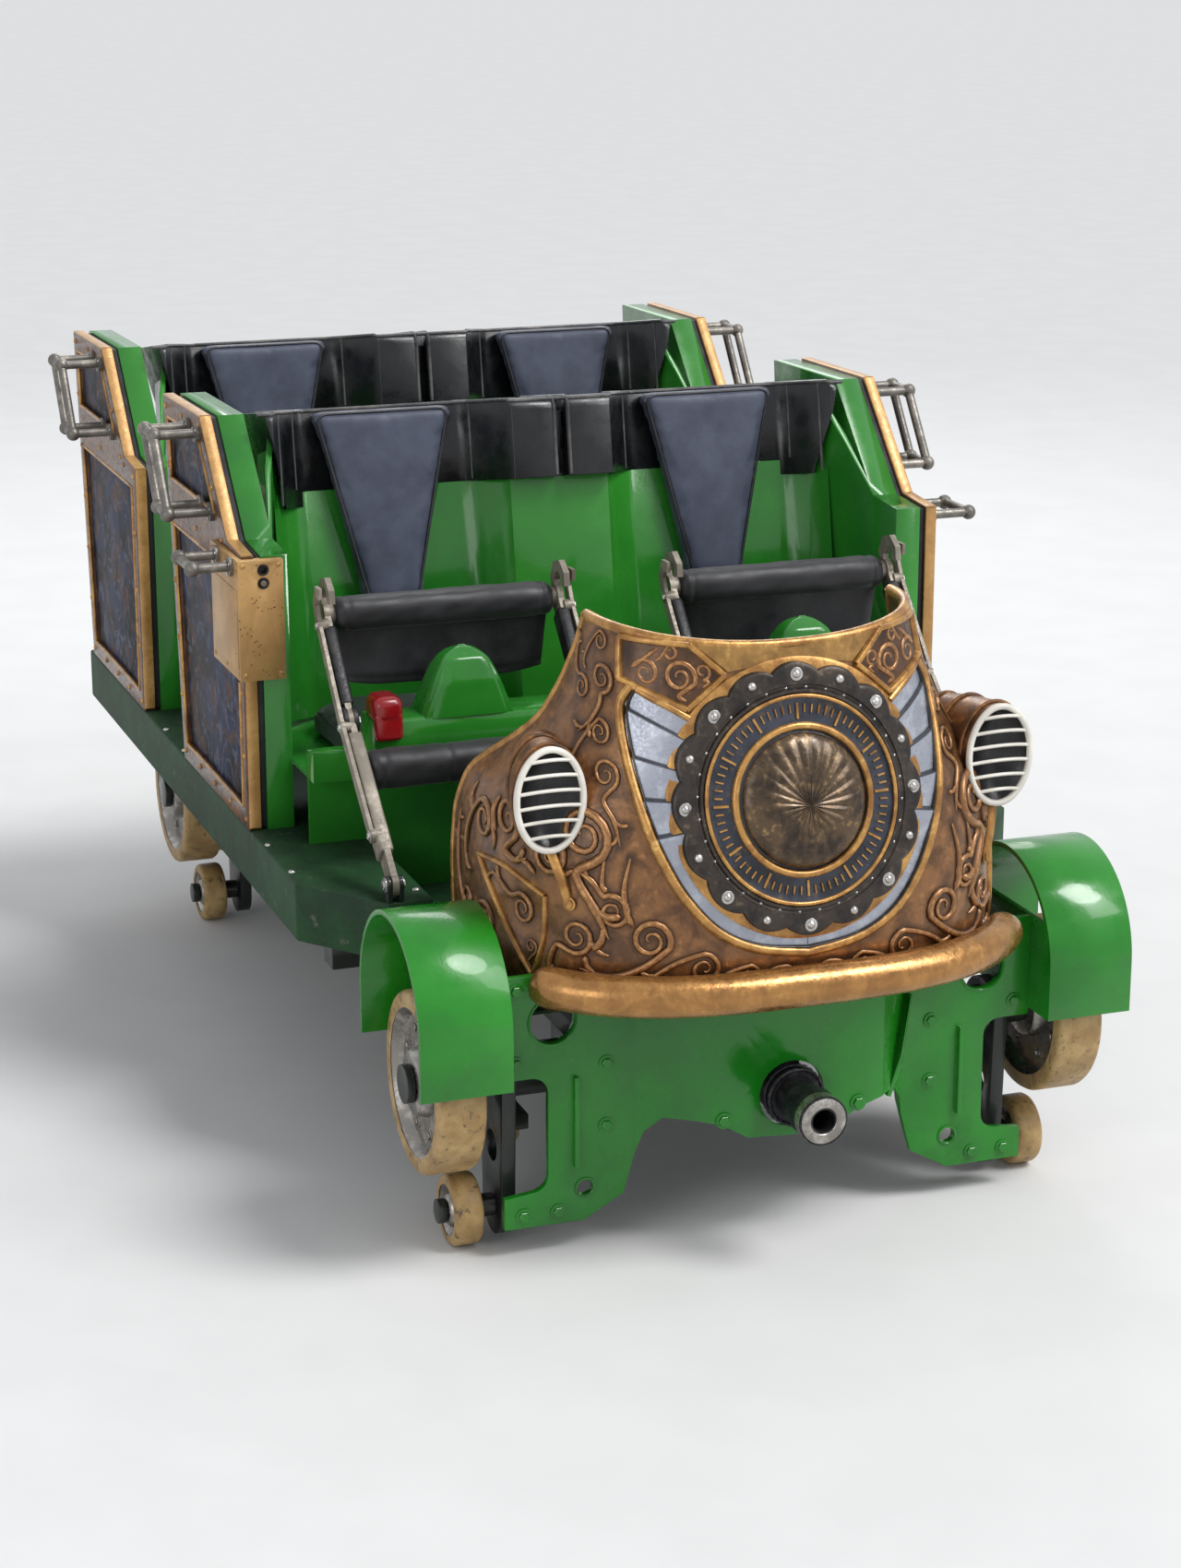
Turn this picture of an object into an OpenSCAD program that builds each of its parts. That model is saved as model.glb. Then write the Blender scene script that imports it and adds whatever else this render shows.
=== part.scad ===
// Roller coaster lead car with two rows of two seats.
// x runs forward from the front plate, y to the car's left, z up from the floor.

/* [Rows] */
// Distance from the front plate back to the first row's headrest
row_first = 1030; // [1000:1:1060]
// Distance between the two rows
row_pitch = 820; // [800:1:860]
// Distance of a seat's middle from the centre plane
seat_y = 300; // [290:1:306]
// Height of the top of the headrests
head_z = 1130; // [1100:1:1180]
// Height of the green lip in front of a seat
lip_z = 705; // [690:1:716]
// Width of a seat cushion
cushion_w = 376; // [340:1:384]
// Thickness of a seat cushion
cushion_t = 46; // [30:1:60]
// Width of a back pad at its top
pad_top_w = 265; // [230:1:280]
// Width of a back pad at its foot
pad_low_w = 110; // [90:1:150]
// Thickness of a back pad
pad_t = 34; // [20:1:44]

/* [Body] */
// Length from the front plate to the rear plate
frame_len = 2100; // [2080:1:2200]
// Height of the walking floor
floor_z = 390; // [384:1:400]
// Height of the side sills
sill_z = 480; // [470:1:486]
// Distance of the outer faces of the side panels from the centre plane
side_y = 622; // [615:1:650]
// Thickness of the bronze side panels
panel_t = 22; // [16:1:28]
// Thickness of the black gasket behind a side panel
gasket_t = 10; // [6:1:14]
// Width of the green flange beside a seat
flange_w = 45; // [36:1:50]
// Wall of the moulded seat shells
shell_t = 8; // [6:1:10]
// Width of the bronze frame round an inset
frame_w = 34; // [26:1:42]
// Depth of the insets behind the face of the side panels
inset_deep = 8; // [4:1:12]
// Reach of the grab rods outside the side panels
grab_reach = 75; // [60:1:90]
// Diameter of the grab rods
grab_d = 16; // [12:1:20]

/* [Wheels] */
// Distance of the rail's middle from the centre plane
rail_y = 507; // [503:1:512]
// Width of the rail head
rail_w = 134; // [126:1:138]
// Thickness of the rail head
rail_head = 16; // [12:1:20]
// Diameter of a road wheel
road_d = 280; // [270:1:286]
// Width of a road wheel
road_w = 76; // [66:1:84]
// Diameter of an upstop wheel
upstop_d = 112; // [106:1:116]
// Width of an upstop wheel
upstop_w = 46; // [40:1:52]
// Diameter of a guide wheel
guide_d = 110; // [100:1:114]
// Width of a guide wheel
guide_w = 44; // [38:1:48]
// Diameter of the stub axles of the road wheels
axle_d = 40; // [34:1:46]
// Diameter of the stub axles of the small wheels
stub_d = 24; // [20:1:28]
// Distance of the front axle behind the front plate
axle_front = 92; // [88:1:96]
// Distance of the rear axle ahead of the frame's rear end
rear_overhang = 360; // [280:1:440]

/* [Nose] */
// Height of the two horns at the top of the nose
horn_z = 955; // [940:1:980]
// Drop of the nose's top edge between the horns
horn_drop = 22; // [12:1:32]
// Wall of the nose shell
nose_t = 12; // [8:1:14]
// Diameter of the gear medallion
medal_d = 396; // [370:1:404]
// Height of the medallion's middle
medal_z = 712; // [704:1:720]
// Diameter of the bumper roll
bumper_d = 62; // [54:1:68]
// Height of an oval lamp
lamp_h = 160; // [140:1:170]
// Width of an oval lamp
lamp_w = 110; // [96:1:116]

/* [Restraints] */
// Distance of a lap bar's foot pivot ahead of the headrest
pivot_ahead = 705; // [700:1:708]
// Height of a lap bar's foot pivot
pivot_z = 506; // [504:1:512]
// Distance of a lap bar arm from the seat's middle
arm_y = 200; // [196:1:203]
// Thickness of a lap bar arm
arm_t = 10; // [8:1:12]
// Width of the straight lower arm
arm_w = 34; // [30:1:36]
// Diameter of the foot pivot pins
pin_d = 16; // [12:1:18]
// Diameter of the tubes that carry the pads
tube_d = 34; // [28:1:38]
// Diameter of the lap pad
lap_pad_d = 56; // [50:1:60]
// Diameter of the shin pad
shin_pad_d = 65; // [56:1:66]

/* [Coupler] */
// Outer diameter of the coupler tube's rim
coupler_d = 76; // [70:1:84]
// Bore of the coupler tube
coupler_bore = 36; // [30:1:44]
// Reach of the coupler tube ahead of the front plate
coupler_reach = 200; // [190:1:230]
// Depth of the coupler tube's bore
bore_deep = 160; // [120:1:180]
// Reach of the rear hitch behind the rear plate
hitch_reach = 150; // [130:1:170]
// Bore of the rear hitch
hitch_bore = 30; // [24:1:36]
// Thickness of one ear of the rear hitch
ear_t = 20; // [14:1:24]

/* [Hidden] */
$fn = 48;

grass_green = [0.16, 0.50, 0.13];
deep_green = [0.07, 0.22, 0.08];
bronze = [0.42, 0.26, 0.13];
gold = [0.76, 0.56, 0.27];
gunmetal = [0.20, 0.18, 0.17];
inset_blue = [0.15, 0.17, 0.23];
satin_black = [0.05, 0.05, 0.06];
pad_blue = [0.24, 0.26, 0.32];
steel_grey = [0.45, 0.44, 0.43];
taupe = [0.52, 0.49, 0.44];
latch_red = [0.55, 0.05, 0.06];
brass = [0.72, 0.50, 0.24];
tyre_cream = [0.62, 0.52, 0.36];

// The origin lies midway between the coupler's mouth and the hitch's end.
axle_rear = frame_len - rear_overhang;
origin_x = (frame_len + hitch_reach - coupler_reach) / 2;
// Gap of a seated face, running gap beside a wheel and radial gap on an axle.
seat_gap = 0.3;
run_gap = 2;
spin_gap = 0.05;

rail_top = upstop_d + run_gap + rail_head;
rail_in = rail_y - rail_w / 2;
road_z = rail_top + road_d / 2;
upstop_z = upstop_d / 2;
guide_z = rail_top - rail_head / 2;
shell_y = side_y - panel_t - gasket_t;
flange_y = shell_y - flange_w;

// Points on an arc, angles in degrees.
function arc(c, r, a0, a1, n) =
    [for (i = [0:n]) let (a = a0 + (a1 - a0) * i / n) c + r * [cos(a), sin(a)]];
// Point where two lines cross, each given by a point and a direction.
function meet(p, u, q, v) =
    p + u * (((q - p)[0] * v[1] - (q - p)[1] * v[0]) / (u[0] * v[1] - u[1] * v[0]));
// Unit vector from one point to the next.
function unit(a, b) = (b - a) / norm(b - a);
// Anticlockwise outline with straight sides, moved inward by d.
function inset(pts, d) = let (n = len(pts)) [for (i = [0:n - 1])
    let (u = unit(pts[(i + n - 1) % n], pts[i]), v = unit(pts[i], pts[(i + 1) % n]))
    meet(pts[i] + d * [-u[1], u[0]], u, pts[i] + d * [-v[1], v[0]], v)];

// Line beside a path of points, at distance d.
function beside(pts, d) = let (n = len(pts)) [for (i = [0:n - 1])
    let (u = unit(pts[max(i - 1, 0)], pts[max(i, 1)]), v = unit(pts[min(i, n - 2)], pts[min(i + 1, n - 1)]),
         a = pts[i] + d * [-u[1], u[0]], b = pts[i] + d * [-v[1], v[0]])
    norm(u - v) < 0.01 ? a : meet(a, u, b, v)];
// Outline of a strip of width w along a path of points.
function band(pts, w) = let (r = beside(pts, -w / 2), n = len(pts))
    concat(beside(pts, w / 2), [for (i = [n - 1:-1:0]) r[i]]);

// Moves the car's own frame, which starts at the front plate, to the origin.
module car() {
    translate([origin_x, 0, 0])
        children();
}

// Moves a row's children from the headrest's front to their place.
module in_row(n) {
    translate([origin_x - row_first - (n - 1) * row_pitch, 0, 0])
        children();
}

// Extrudes an outline drawn in x and z along y, from y0 to y1.
module along_y(y0, y1) {
    translate([0, y1, 0])
        rotate([90, 0, 0])
            linear_extrude(y1 - y0)
                children();
}

// Extrudes an outline drawn in y and z along x, from x0 to x1.
module along_x(x0, x1) {
    translate([x0, 0, 0])
        rotate([90, 0, 90])
            linear_extrude(x1 - x0)
                children();
}

// A copy on the car's left and one on its right.
module both() {
    children();
    mirror([0, 1, 0])
        children();
}

// Round bar along y.
module rod_y(x, z, y0, y1, d) {
    translate([x, y0, z])
        rotate([-90, 0, 0])
            cylinder(h = y1 - y0, d = d);
}

// Round bar along x.
module rod_x(y, z, x0, x1, d) {
    translate([x0, y, z])
        rotate([0, 90, 0])
            cylinder(h = x1 - x0, d = d);
}

// Round bar between two points in space.
module bar(a, b, d) {
    v = b - a;
    translate(a)
        rotate([0, acos(v[2] / norm(v)), atan2(v[1], v[0])])
            cylinder(h = norm(v), d = d);
}

// Flat strap between two points, with round ends.
module strap(a, b, w) {
    for (p = [a, b])
        translate(p)
            circle(d = w);
    translate(a)
        rotate(atan2(b[1] - a[1], b[0] - a[0]))
            translate([0, -w / 2])
                square([norm(b - a), w]);
}

// Skin through loops of points, each anticlockwise as seen from the loop that comes after it.
// A closed skin joins its last loop to its first, and an open one has flat ends.
module loft(loops, closed = false) {
    m = len(loops);
    n = len(loops[0]);
    sides = [for (k = [0:m - (closed ? 1 : 2)]) for (i = [0:n - 1])
        let (a = k * n + i, b = k * n + (i + 1) % n, up = ((k + 1) % m - k) * n)
        each [[a, a + up, b + up], [a, b + up, b]]];
    ends = closed ? [] : [[for (i = [0:n - 1]) i], [for (i = [n - 1:-1:0]) (m - 1) * n + i]];
    polyhedron(points = [for (l = loops) each l], faces = concat(sides, ends), convexity = 8);
}

/* Chassis */

beam_y = 280;
beam_w = 60;
beam_h = 60;
beam_wall = 6;
floor_t = 6;
beam_top = floor_z - floor_t;
beam_low = beam_top - beam_h;
plate_t = 12;
cross_w = 50;
outrigger_in = 60;
shoulder_z = 289;
// Places of the cross members and of the outriggers, as parts of the frame's length.
cross_x = [for (f = [0.195, 0.452, 0.676, 0.986]) f * frame_len];
outrigger_x = [for (f = [0.248, 0.59, 0.986]) f * frame_len];

// Two long box beams, the cross members between them and outriggers under the sills.
module chassis_frame() {
    color(deep_green)
        car() {
            both()
                difference() {
                    translate([-frame_len, beam_y - beam_w / 2, beam_low])
                        cube([frame_len - plate_t, beam_w, beam_h]);
                    translate([-frame_len - 1, beam_y - beam_w / 2 + beam_wall, beam_low + beam_wall])
                        cube([frame_len + 2, beam_w - 2 * beam_wall, beam_h - 2 * beam_wall]);
                }
            for (x = cross_x)
                translate([-x, -beam_y + beam_w / 2, beam_low])
                    cube([cross_w, 2 * beam_y - beam_w, beam_h]);
            both()
                for (x = outrigger_x)
                    translate([-x, beam_y + beam_w / 2, beam_low])
                        cube([cross_w, side_y - outrigger_in - beam_y - beam_w / 2, beam_h]);
        }
}

bulge = 80;
plate_top = 451;
plate_low = 50;
fender_y = 436;
coupler_z = 245;
notch_r = 26;
toe_y = 429;
fin_y = 314;
fin_z = 140;
fin_t = 7;
fin_h = 145;
fin_out = 14;

// Front view of half the front plate, with the notch that clears the rail.
plate_half = concat(
    [[0, plate_top], [0, 177], [70, 182], [110, 206], [150, 219], [190, 214], [212, 185]],
    [[231, 115], [240, 85], [303, plate_low], [toe_y, plate_low], [toe_y, 100]],
    arc([386, 131], notch_r, 270, 180, 5),
    arc([386, 263], notch_r, 180, 90, 5),
    [[fender_y, shoulder_z], [fender_y, plate_top]]);

// Plan of half the plate, with its middle pushed forward.
plate_plan = [[bulge, 0], [bulge, 150], [0, 222], [0, fender_y], [-plate_t, fender_y],
              [-plate_t, 216], [bulge - plate_t, 144], [bulge - plate_t, 0]];

// Folded plate across the front, with legs inboard of the rails.
module front_plate() {
    color(grass_green)
        car() {
            difference() {
                both()
                    intersection() {
                        along_x(-plate_t, bulge)
                            polygon(plate_half);
                        linear_extrude(plate_top)
                            polygon(plate_plan);
                    }
                both() {
                    rod_x(353, 376, -plate_t - 1, 1, 70);
                    rod_x(302, 103, -plate_t - 1, 1, 25);
                }
                rod_x(0, coupler_z, 0, bulge + 1, coupler_d + 28);
            }
            // Pressed fins on the legs, and the folded stiffener beside the coupler tube.
            both()
                translate([-1, fin_y, fin_z])
                    cube([11, fin_t, fin_h]);
            intersection() {
                along_x(-1, bulge - 30)
                    polygon(band([[176, 204], [226, 352]], fin_t));
                linear_extrude(plate_top)
                    polygon(beside(plate_plan, -fin_out));
            }
        }
}

// Plate across the rear, which carries the hitch.
module rear_plate() {
    color(grass_green)
        car()
            both()
                along_x(-frame_len - plate_t, -frame_len)
                    polygon([[0, beam_top], [0, 170], [90, 170], [200, 214], [320, shoulder_z],
                             [sill_in, shoulder_z], [sill_in, beam_top]]);
}

carrier_t = 22;
carrier_y = 398;
axle_beam_d = 80;
saddle_w = 80;
guide_back = 150;
guide_y = rail_in - run_gap - guide_d / 2;
upstop_y0 = rail_in + 8;
road_y0 = rail_y - road_w / 2;
cap_t = 12;

// Side plate with stub axles for one road wheel, one upstop wheel and one guide wheel.
module wheel_carrier(x) {
    carrier_end = carrier_y + carrier_t;
    difference() {
        along_y(carrier_y, carrier_end) {
            polygon([[x - 46, upstop_z], [x + 46, upstop_z], [x + 54, road_z], [x - 54, road_z]]);
            translate([x, road_z])
                circle(d = 108);
            translate([x, upstop_z])
                circle(d = 92);
            translate([x - 72, guide_z + guide_w / 2 + 10])
                square([72, 60]);
        }
        rod_y(x, (road_z + upstop_z) / 2 - 10, carrier_y - 1, carrier_end + 1, 50);
    }
    rod_y(x, road_z, carrier_y + 1, rail_y + road_w / 2 + run_gap + cap_t, axle_d);
    rod_y(x, road_z, carrier_y + 1, road_y0 - run_gap, axle_d + 16);
    rod_y(x, road_z, rail_y + road_w / 2 + run_gap, rail_y + road_w / 2 + run_gap + cap_t, axle_d + 20);
    rod_y(x, upstop_z, carrier_y + 1, upstop_y0 + upstop_w + run_gap + cap_t, stub_d);
    rod_y(x, upstop_z, carrier_y + 1, upstop_y0 - run_gap, stub_d + 12);
    rod_y(x, upstop_z, upstop_y0 + upstop_w + run_gap, upstop_y0 + upstop_w + run_gap + cap_t, stub_d + 14);
    // Arm over the guide wheel, and the pin that it turns on.
    translate([x - guide_back - 34, guide_y - 34, guide_z + guide_w / 2 + cap_t])
        cube([guide_back, carrier_end - guide_y + 34, 24]);
    translate([x - guide_back, guide_y, guide_z - guide_w / 2 - run_gap - cap_t])
        cylinder(h = guide_w + run_gap + 2 * cap_t, d = stub_d);
    translate([x - guide_back, guide_y, guide_z + guide_w / 2 + run_gap])
        cylinder(h = cap_t, d = stub_d + 12);
    translate([x - guide_back, guide_y, guide_z - guide_w / 2 - run_gap - cap_t])
        cylinder(h = cap_t, d = stub_d + 14);
}

// Cross beam with saddles under the chassis beams and a carrier at each end.
module axle_set(x) {
    color(gunmetal)
        car() {
            rod_y(x, road_z, -carrier_y - 1, carrier_y + 1, axle_beam_d);
            both() {
                translate([x - saddle_w / 2, beam_y - beam_w / 2, road_z])
                    cube([saddle_w, beam_w, beam_low - road_z]);
                wheel_carrier(x);
            }
        }
}

module front_axle() {
    axle_set(-axle_front);
}

module rear_axle() {
    axle_set(-axle_rear);
}

fender_w = 142;
fender_r = 160;
fender_t = 8;
fender_z = 380;
fender_low = 300;

// Outline of a fender's side, d inside its outer face.
module fender_side(d) {
    translate([-axle_front, fender_z])
        circle(r = fender_r - d, $fn = 64);
    translate([-axle_front - fender_r + d, fender_low - d])
        square([2 * (fender_r - d), fender_z - fender_low + d]);
}

// Curved covers over the front road wheels, each with a web on its inboard side.
module front_fenders() {
    color(grass_green)
        car()
            both() {
                difference() {
                    along_y(fender_y, fender_y + fender_w)
                        fender_side(0);
                    along_y(fender_y - 1, fender_y + fender_w + 1)
                        fender_side(fender_t);
                    translate([-axle_front - fender_r - 1, fender_y - 1, 0])
                        cube([2 * fender_r + 2, fender_w + 2, fender_low]);
                }
                intersection() {
                    along_y(fender_y, fender_y + fender_t)
                        fender_side(1);
                    translate([-axle_front - fender_r, fender_y, fender_low])
                        cube([2 * fender_r, fender_t, plate_top - fender_low]);
                }
            }
}

// Coupler tube with a thick rim, on a block that is shaped to the front axle beam.
module coupler_tube() {
    color(steel_grey)
        car()
            difference() {
                union() {
                    rod_x(0, coupler_z, -axle_front + 30, coupler_reach - 5, coupler_d - 10);
                    rod_x(0, coupler_z, coupler_reach - 46, coupler_reach, coupler_d);
                    rod_x(0, coupler_z, bulge - 40, bulge + 16, coupler_d + 8);
                    translate([-axle_front, -60, coupler_z - 45])
                        cube([62, 120, 100]);
                }
                rod_x(0, coupler_z, coupler_reach - bore_deep, coupler_reach + 1, coupler_bore);
                rod_y(-axle_front, road_z, -61, 61, axle_beam_d + 2 * seat_gap);
            }
}

// Forked rear hitch with a cross bore through both ears.
module rear_hitch() {
    plate_x = -frame_len - plate_t;
    gap = coupler_d + 4;
    eye_x = -frame_len - hitch_reach + 38;
    color(gunmetal)
        car()
            difference() {
                union() {
                    translate([plate_x - 14, -gap / 2 - ear_t - 16, coupler_z - 55])
                        cube([14, gap + 2 * ear_t + 32, 120]);
                    both()
                        along_y(gap / 2, gap / 2 + ear_t) {
                            strap([plate_x - 54, coupler_z], [eye_x, coupler_z], 76);
                            translate([plate_x - 54, coupler_z - 38])
                                square([44, 76]);
                        }
                }
                rod_y(eye_x, coupler_z, -gap, gap, hitch_bore);
            }
}

sill_w = 182;
sill_x = -310;
sill_in = side_y - sill_w;
step_y = 512;
step_len = 150;
nose_floor_y = 404;

// Outline of the left sill in plan, d inside its outer edge.
function sill_plan(d) = [[sill_x - d, sill_in + d], [sill_x - d, step_y - d / 2],
    [sill_x - step_len, side_y - d], [-frame_len + d, side_y - d], [-frame_len + d, sill_in + d]];

// Anti-slip floor with a raised hollow sill on each side.
module floor_pan() {
    color(deep_green)
        car() {
            translate([-frame_len, -sill_in - 1, beam_top])
                cube([frame_len + sill_x, 2 * sill_in + 2, floor_t]);
            translate([sill_x - 1, -nose_floor_y, beam_top])
                cube([-sill_x + 1 - plate_t, 2 * nose_floor_y, floor_t]);
            both()
                difference() {
                    translate([0, 0, beam_top])
                        linear_extrude(sill_z - beam_top)
                            polygon(sill_plan(0));
                    translate([0, 0, beam_top - 1])
                        linear_extrude(sill_z - beam_top - shell_t + 1)
                            polygon(sill_plan(shell_t));
                }
        }
}

/* Nose */

horn_y = 252;
// Columns: height, front x at the middle, half width at the rear edge, rear x, squareness.
nose_rows = [
    [floor_z, 116, 408, -300, 3.0],
    [480, 128, 412, -300, 3.0],
    [560, 122, 413, -300, 3.0],
    [640, 108, 408, -296, 3.0],
    [700, 96, 391, -280, 2.9],
    [745, 86, 348, -230, 2.8],
    [790, 76, 311, -185, 2.7],
    [850, 62, 283, -165, 2.6],
    [910, 50, 263, -152, 2.5],
    [horn_z, 40, horn_y, -145, 2.5]];
nose_steps = 24;
lift = 26;

// Row of the table at any height, by straight lines between the rows.
function nose_row(z) = let (last = len(nose_rows) - 1,
        k = max([for (i = [0:last - 1]) nose_rows[i][0] <= z ? i : 0]),
        t = (z - nose_rows[k][0]) / (nose_rows[k + 1][0] - nose_rows[k][0]))
    nose_rows[k] * (1 - t) + nose_rows[k + 1] * t;

// Forward x of the nose's skin at a place in the front view.
function nose_x(y, z) = let (r = nose_row(z), s = min(abs(y) / r[2], 1))
    r[3] + (r[1] - r[3]) * pow(1 - pow(s, r[4]), 1 / r[4]);

// Point on the skin of a row at angle a, moved inward by d.
function nose_point(r, a, d) = [
    r[3] + (r[1] - d - r[3]) * pow(max(cos(a), 0), 2 / r[4]),
    sign(a) * (r[2] - d) * pow(abs(sin(a)), 2 / r[4]), r[0]];

// Height at which a row passes a point: the lowest edge rises ahead of the front plate,
// and the top edge dips between the horns.
function nose_height(z, p) = z == floor_z ? z + lift * min(max(p[0] / 50, 0), 1)
    : z == horn_z ? z - horn_drop * (1 - pow(min(abs(p[1]) / horn_y, 1), 2)) : z;

// Point on the skin where a row crosses angle a, moved inward by d.
function skin_point(r, a, d) = nose_point(nose_row(nose_height(r[0], nose_point(r, a, d))), a, d);

// One level of the nose as a thin closed band, outer skin and inner skin.
function nose_loop(r) = concat(
    [for (i = [0:nose_steps]) skin_point(r, -90 + 180 * i / nose_steps, 0)],
    [for (i = [nose_steps:-1:0]) skin_point(r, -90 + 180 * i / nose_steps, nose_t)]);

// Carved shield, open to the rear over the first row's feet.
module nose_shell() {
    n = 2 * nose_steps + 2;
    m = len(nose_rows);
    half = nose_steps + 1;
    points = [for (r = nose_rows) each nose_loop(r)];
    sides = [for (k = [0:m - 2]) for (i = [0:n - 1])
        let (a = k * n + i, b = k * n + (i + 1) % n)
        each [[a, a + n, b + n], [a, b + n, b]]];
    low = [for (i = [0:half - 2]) each [[i, i + 1, n - 2 - i], [i, n - 2 - i, n - 1 - i]]];
    top = [for (i = [0:half - 2]) let (t = (m - 1) * n)
        each [[t + i, t + n - 2 - i, t + i + 1], [t + i, t + n - 1 - i, t + n - 2 - i]]];
    color(bronze)
        car()
            difference() {
                polyhedron(points = points, faces = concat(sides, low, top), convexity = 8);
                // Slot over the front plate.
                translate([-plate_t - seat_gap, -fender_y, floor_z - 1])
                    cube([plate_t + 2 * seat_gap, 2 * fender_y, plate_top + seat_gap - floor_z + 1]);
            }
}

// Point on the nose, r from the medallion's middle at angle a, h proud of the skin.
function on_nose(r, a, h) = let (y = r * cos(a), z = medal_z + r * sin(a))
    [nose_x(y, z) + h, y, z];

// Band round the medallion's middle that follows the nose's skin, from angle a0 over a span.
// Each step has its own radii, and a full turn closes into a ring.
module nose_ring(inner, outer, low, high, a0 = 0, span = 360) {
    full = span == 360;
    n = len(inner) - (full ? 0 : 1);
    loft([for (i = [0:len(inner) - 1]) let (a = a0 + span * i / n)
        [on_nose(inner[i], a, low), on_nose(inner[i], a, high),
         on_nose(outer[i], a, high), on_nose(outer[i], a, low)]], closed = full);
}

border_steps = 60;
border_r = 236;
border_flare = 46;
border_w = 16;

// Raised border of the shield, open at the top where the medallion breaks through it.
module nose_border() {
    radii = [for (i = [0:border_steps])
        border_r + border_flare * pow(abs(2 * i / border_steps - 1), 6)];
    color(gold)
        car()
            difference() {
                nose_ring([for (r = radii) r - border_w], radii, -8, 9, -216, 252);
                nose_block(seat_gap);
            }
}

scallops = 16;
scallop_deep = 12;
medal_steps = 64;
dial_r = 0.21 * medal_d;
ring_r = 0.37 * medal_d;
ring_w = 9;
// Columns: radius, height above the nose's skin and depth of the scallops, from the rim in to the top.
medal_rows = [
    [medal_d / 2, -8, scallop_deep],
    [medal_d / 2, 12, scallop_deep],
    [medal_d / 2 - 3, 14, scallop_deep],
    [ring_r + ring_w, 14, 0],
    [ring_r + ring_w - 1, 21, 0],
    [ring_r + 1, 21, 0],
    [ring_r, 12, 0],
    [dial_r + ring_w, 12, 0],
    [dial_r + ring_w - 1, 21, 0],
    [dial_r + 1, 21, 0],
    [dial_r - 4, 25, 0],
    [dial_r - 20, 33, 0],
    [dial_r - 48, 39, 0],
    [6, 41, 0]];

// Round porthole with a scalloped rim, two raised rings and a low dome, all following the nose's skin.
module medallion() {
    color(gunmetal)
        car()
            difference() {
                loft([for (k = medal_rows) [for (i = [0:medal_steps - 1])
                    let (bay = 1 - abs(cos(180 * i * scallops / medal_steps)))
                    on_nose(k[0] - k[2] * bay, 360 * i / medal_steps, k[1])]]);
                nose_block(seat_gap);
            }
}

bumper_z = 443;
bumper_half = 46;
bumper_sunk = 3;
// Places along the bumper, closer together at its round ends.
bumper_ends = [0, 0.004, 0.012, 0.024];
bumper_at = concat(bumper_ends, [for (i = [1:17]) i / 18], [for (i = [3:-1:0]) 1 - bumper_ends[i]]);

// Rolled bumper that follows the nose's lower edge.
module bumper() {
    row = nose_row(bumper_z);
    gap = bumper_d / 2 - bumper_sunk;
    path = [for (t = bumper_at) nose_point(row, bumper_half * (2 * t - 1), -gap)];
    last = len(path) - 1;
    loops = [for (i = [0:last])
        let (d = unit(path[max(i - 1, 0)], path[min(i + 1, last)]), side = [-d[1], d[0], 0],
             e = max(0, 1 - min(bumper_at[i], 1 - bumper_at[i]) / 0.03),
             r = bumper_d / 2 * sqrt(1 - 0.9 * e * e))
        [for (k = [0:11]) path[i] + r * cos(30 * k) * side + [0, 0, r * sin(30 * k)]]];
    color(gold)
        car()
            difference() {
                loft(loops);
                nose_block(seat_gap);
            }
}

lamp_y = 361;
lamp_z = 723;
lamp_x = 20;
lamp_bars = 6;

// Oval with the lamp's proportions, d inside its rim.
module oval(d) {
    polygon([for (i = [0:31]) let (a = 360 * i / 32)
        [(lamp_w / 2 - d) * cos(a), (lamp_h / 2 - d) * sin(a)]]);
}

// The nose's volume, its skin moved outward by d and closed at the back.
module nose_block(d) {
    loft([for (r = nose_rows) concat(
        [for (i = [0:nose_steps]) nose_point(r, -90 + 180 * i / nose_steps, -d)], [[-320, 0, r[0]]])]);
}

// Oval lamps with a rim and bars, each on a tapering pod that seats on the nose.
module lamps() {
    color(bronze)
        car()
            both()
                difference() {
                    translate([0, lamp_y, lamp_z]) {
                        along_x(lamp_x - 7, lamp_x)
                            difference() {
                                oval(0);
                                oval(7);
                            }
                        loft([for (k = [[-186, 26, -40], [-136, 12, -26], [-70, 4, -10], [-6, 1, 0]])
                            [for (i = [0:31]) let (a = 360 * i / 32)
                                [lamp_x + k[0], (lamp_w / 2 - k[1]) * cos(a) + k[2],
                                 (lamp_h / 2 - k[1]) * sin(a)]]]);
                        for (i = [1:lamp_bars])
                            let (z = lamp_h * (i / (lamp_bars + 1) - 0.5),
                                 w = (lamp_w / 2 - 4) * sqrt(1 - pow(2 * z / lamp_h, 2)))
                            translate([lamp_x - 7, -w, z - 3])
                                cube([6, 2 * w, 6]);
                    }
                    nose_block(seat_gap);
                }
}

/* Rows of seats */

// Side view of a seat pod, x measured from the headrest's front.
pod_front = 273;
pod_drop = 186;
pod_side = [[pod_front, sill_z], [pod_front, head_z - pod_drop], [pod_front - 97, head_z - pod_drop + 7],
            [0, head_z], [-280, head_z - 5], [-210, sill_z]];
seat_front = 410;
front_lip = 40;
recline = 9.6;
back_foot = 775;
back_foot_x = 60;
pad_foot = 14;
back_len = (head_z - back_foot) / cos(recline);
pan_t = 8;
pan_z = 600;
bolster_w = 74;
head_low = 0.617 * back_len;
ear_in = 444;
ear_out = 486;
ear_low = head_low - 26;
head_top_y = 538;
back_edge = 510;

// Front of the backrest across the car: flat behind each pad, d further forward on the bolsters.
function back_x(y, d) = let (flat = pad_top_w / 2 + 4)
    -pad_t - seat_gap + d * pow(min(1, max(0, abs(abs(y) - seat_y) - flat) / bolster_w), 1.4);

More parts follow.
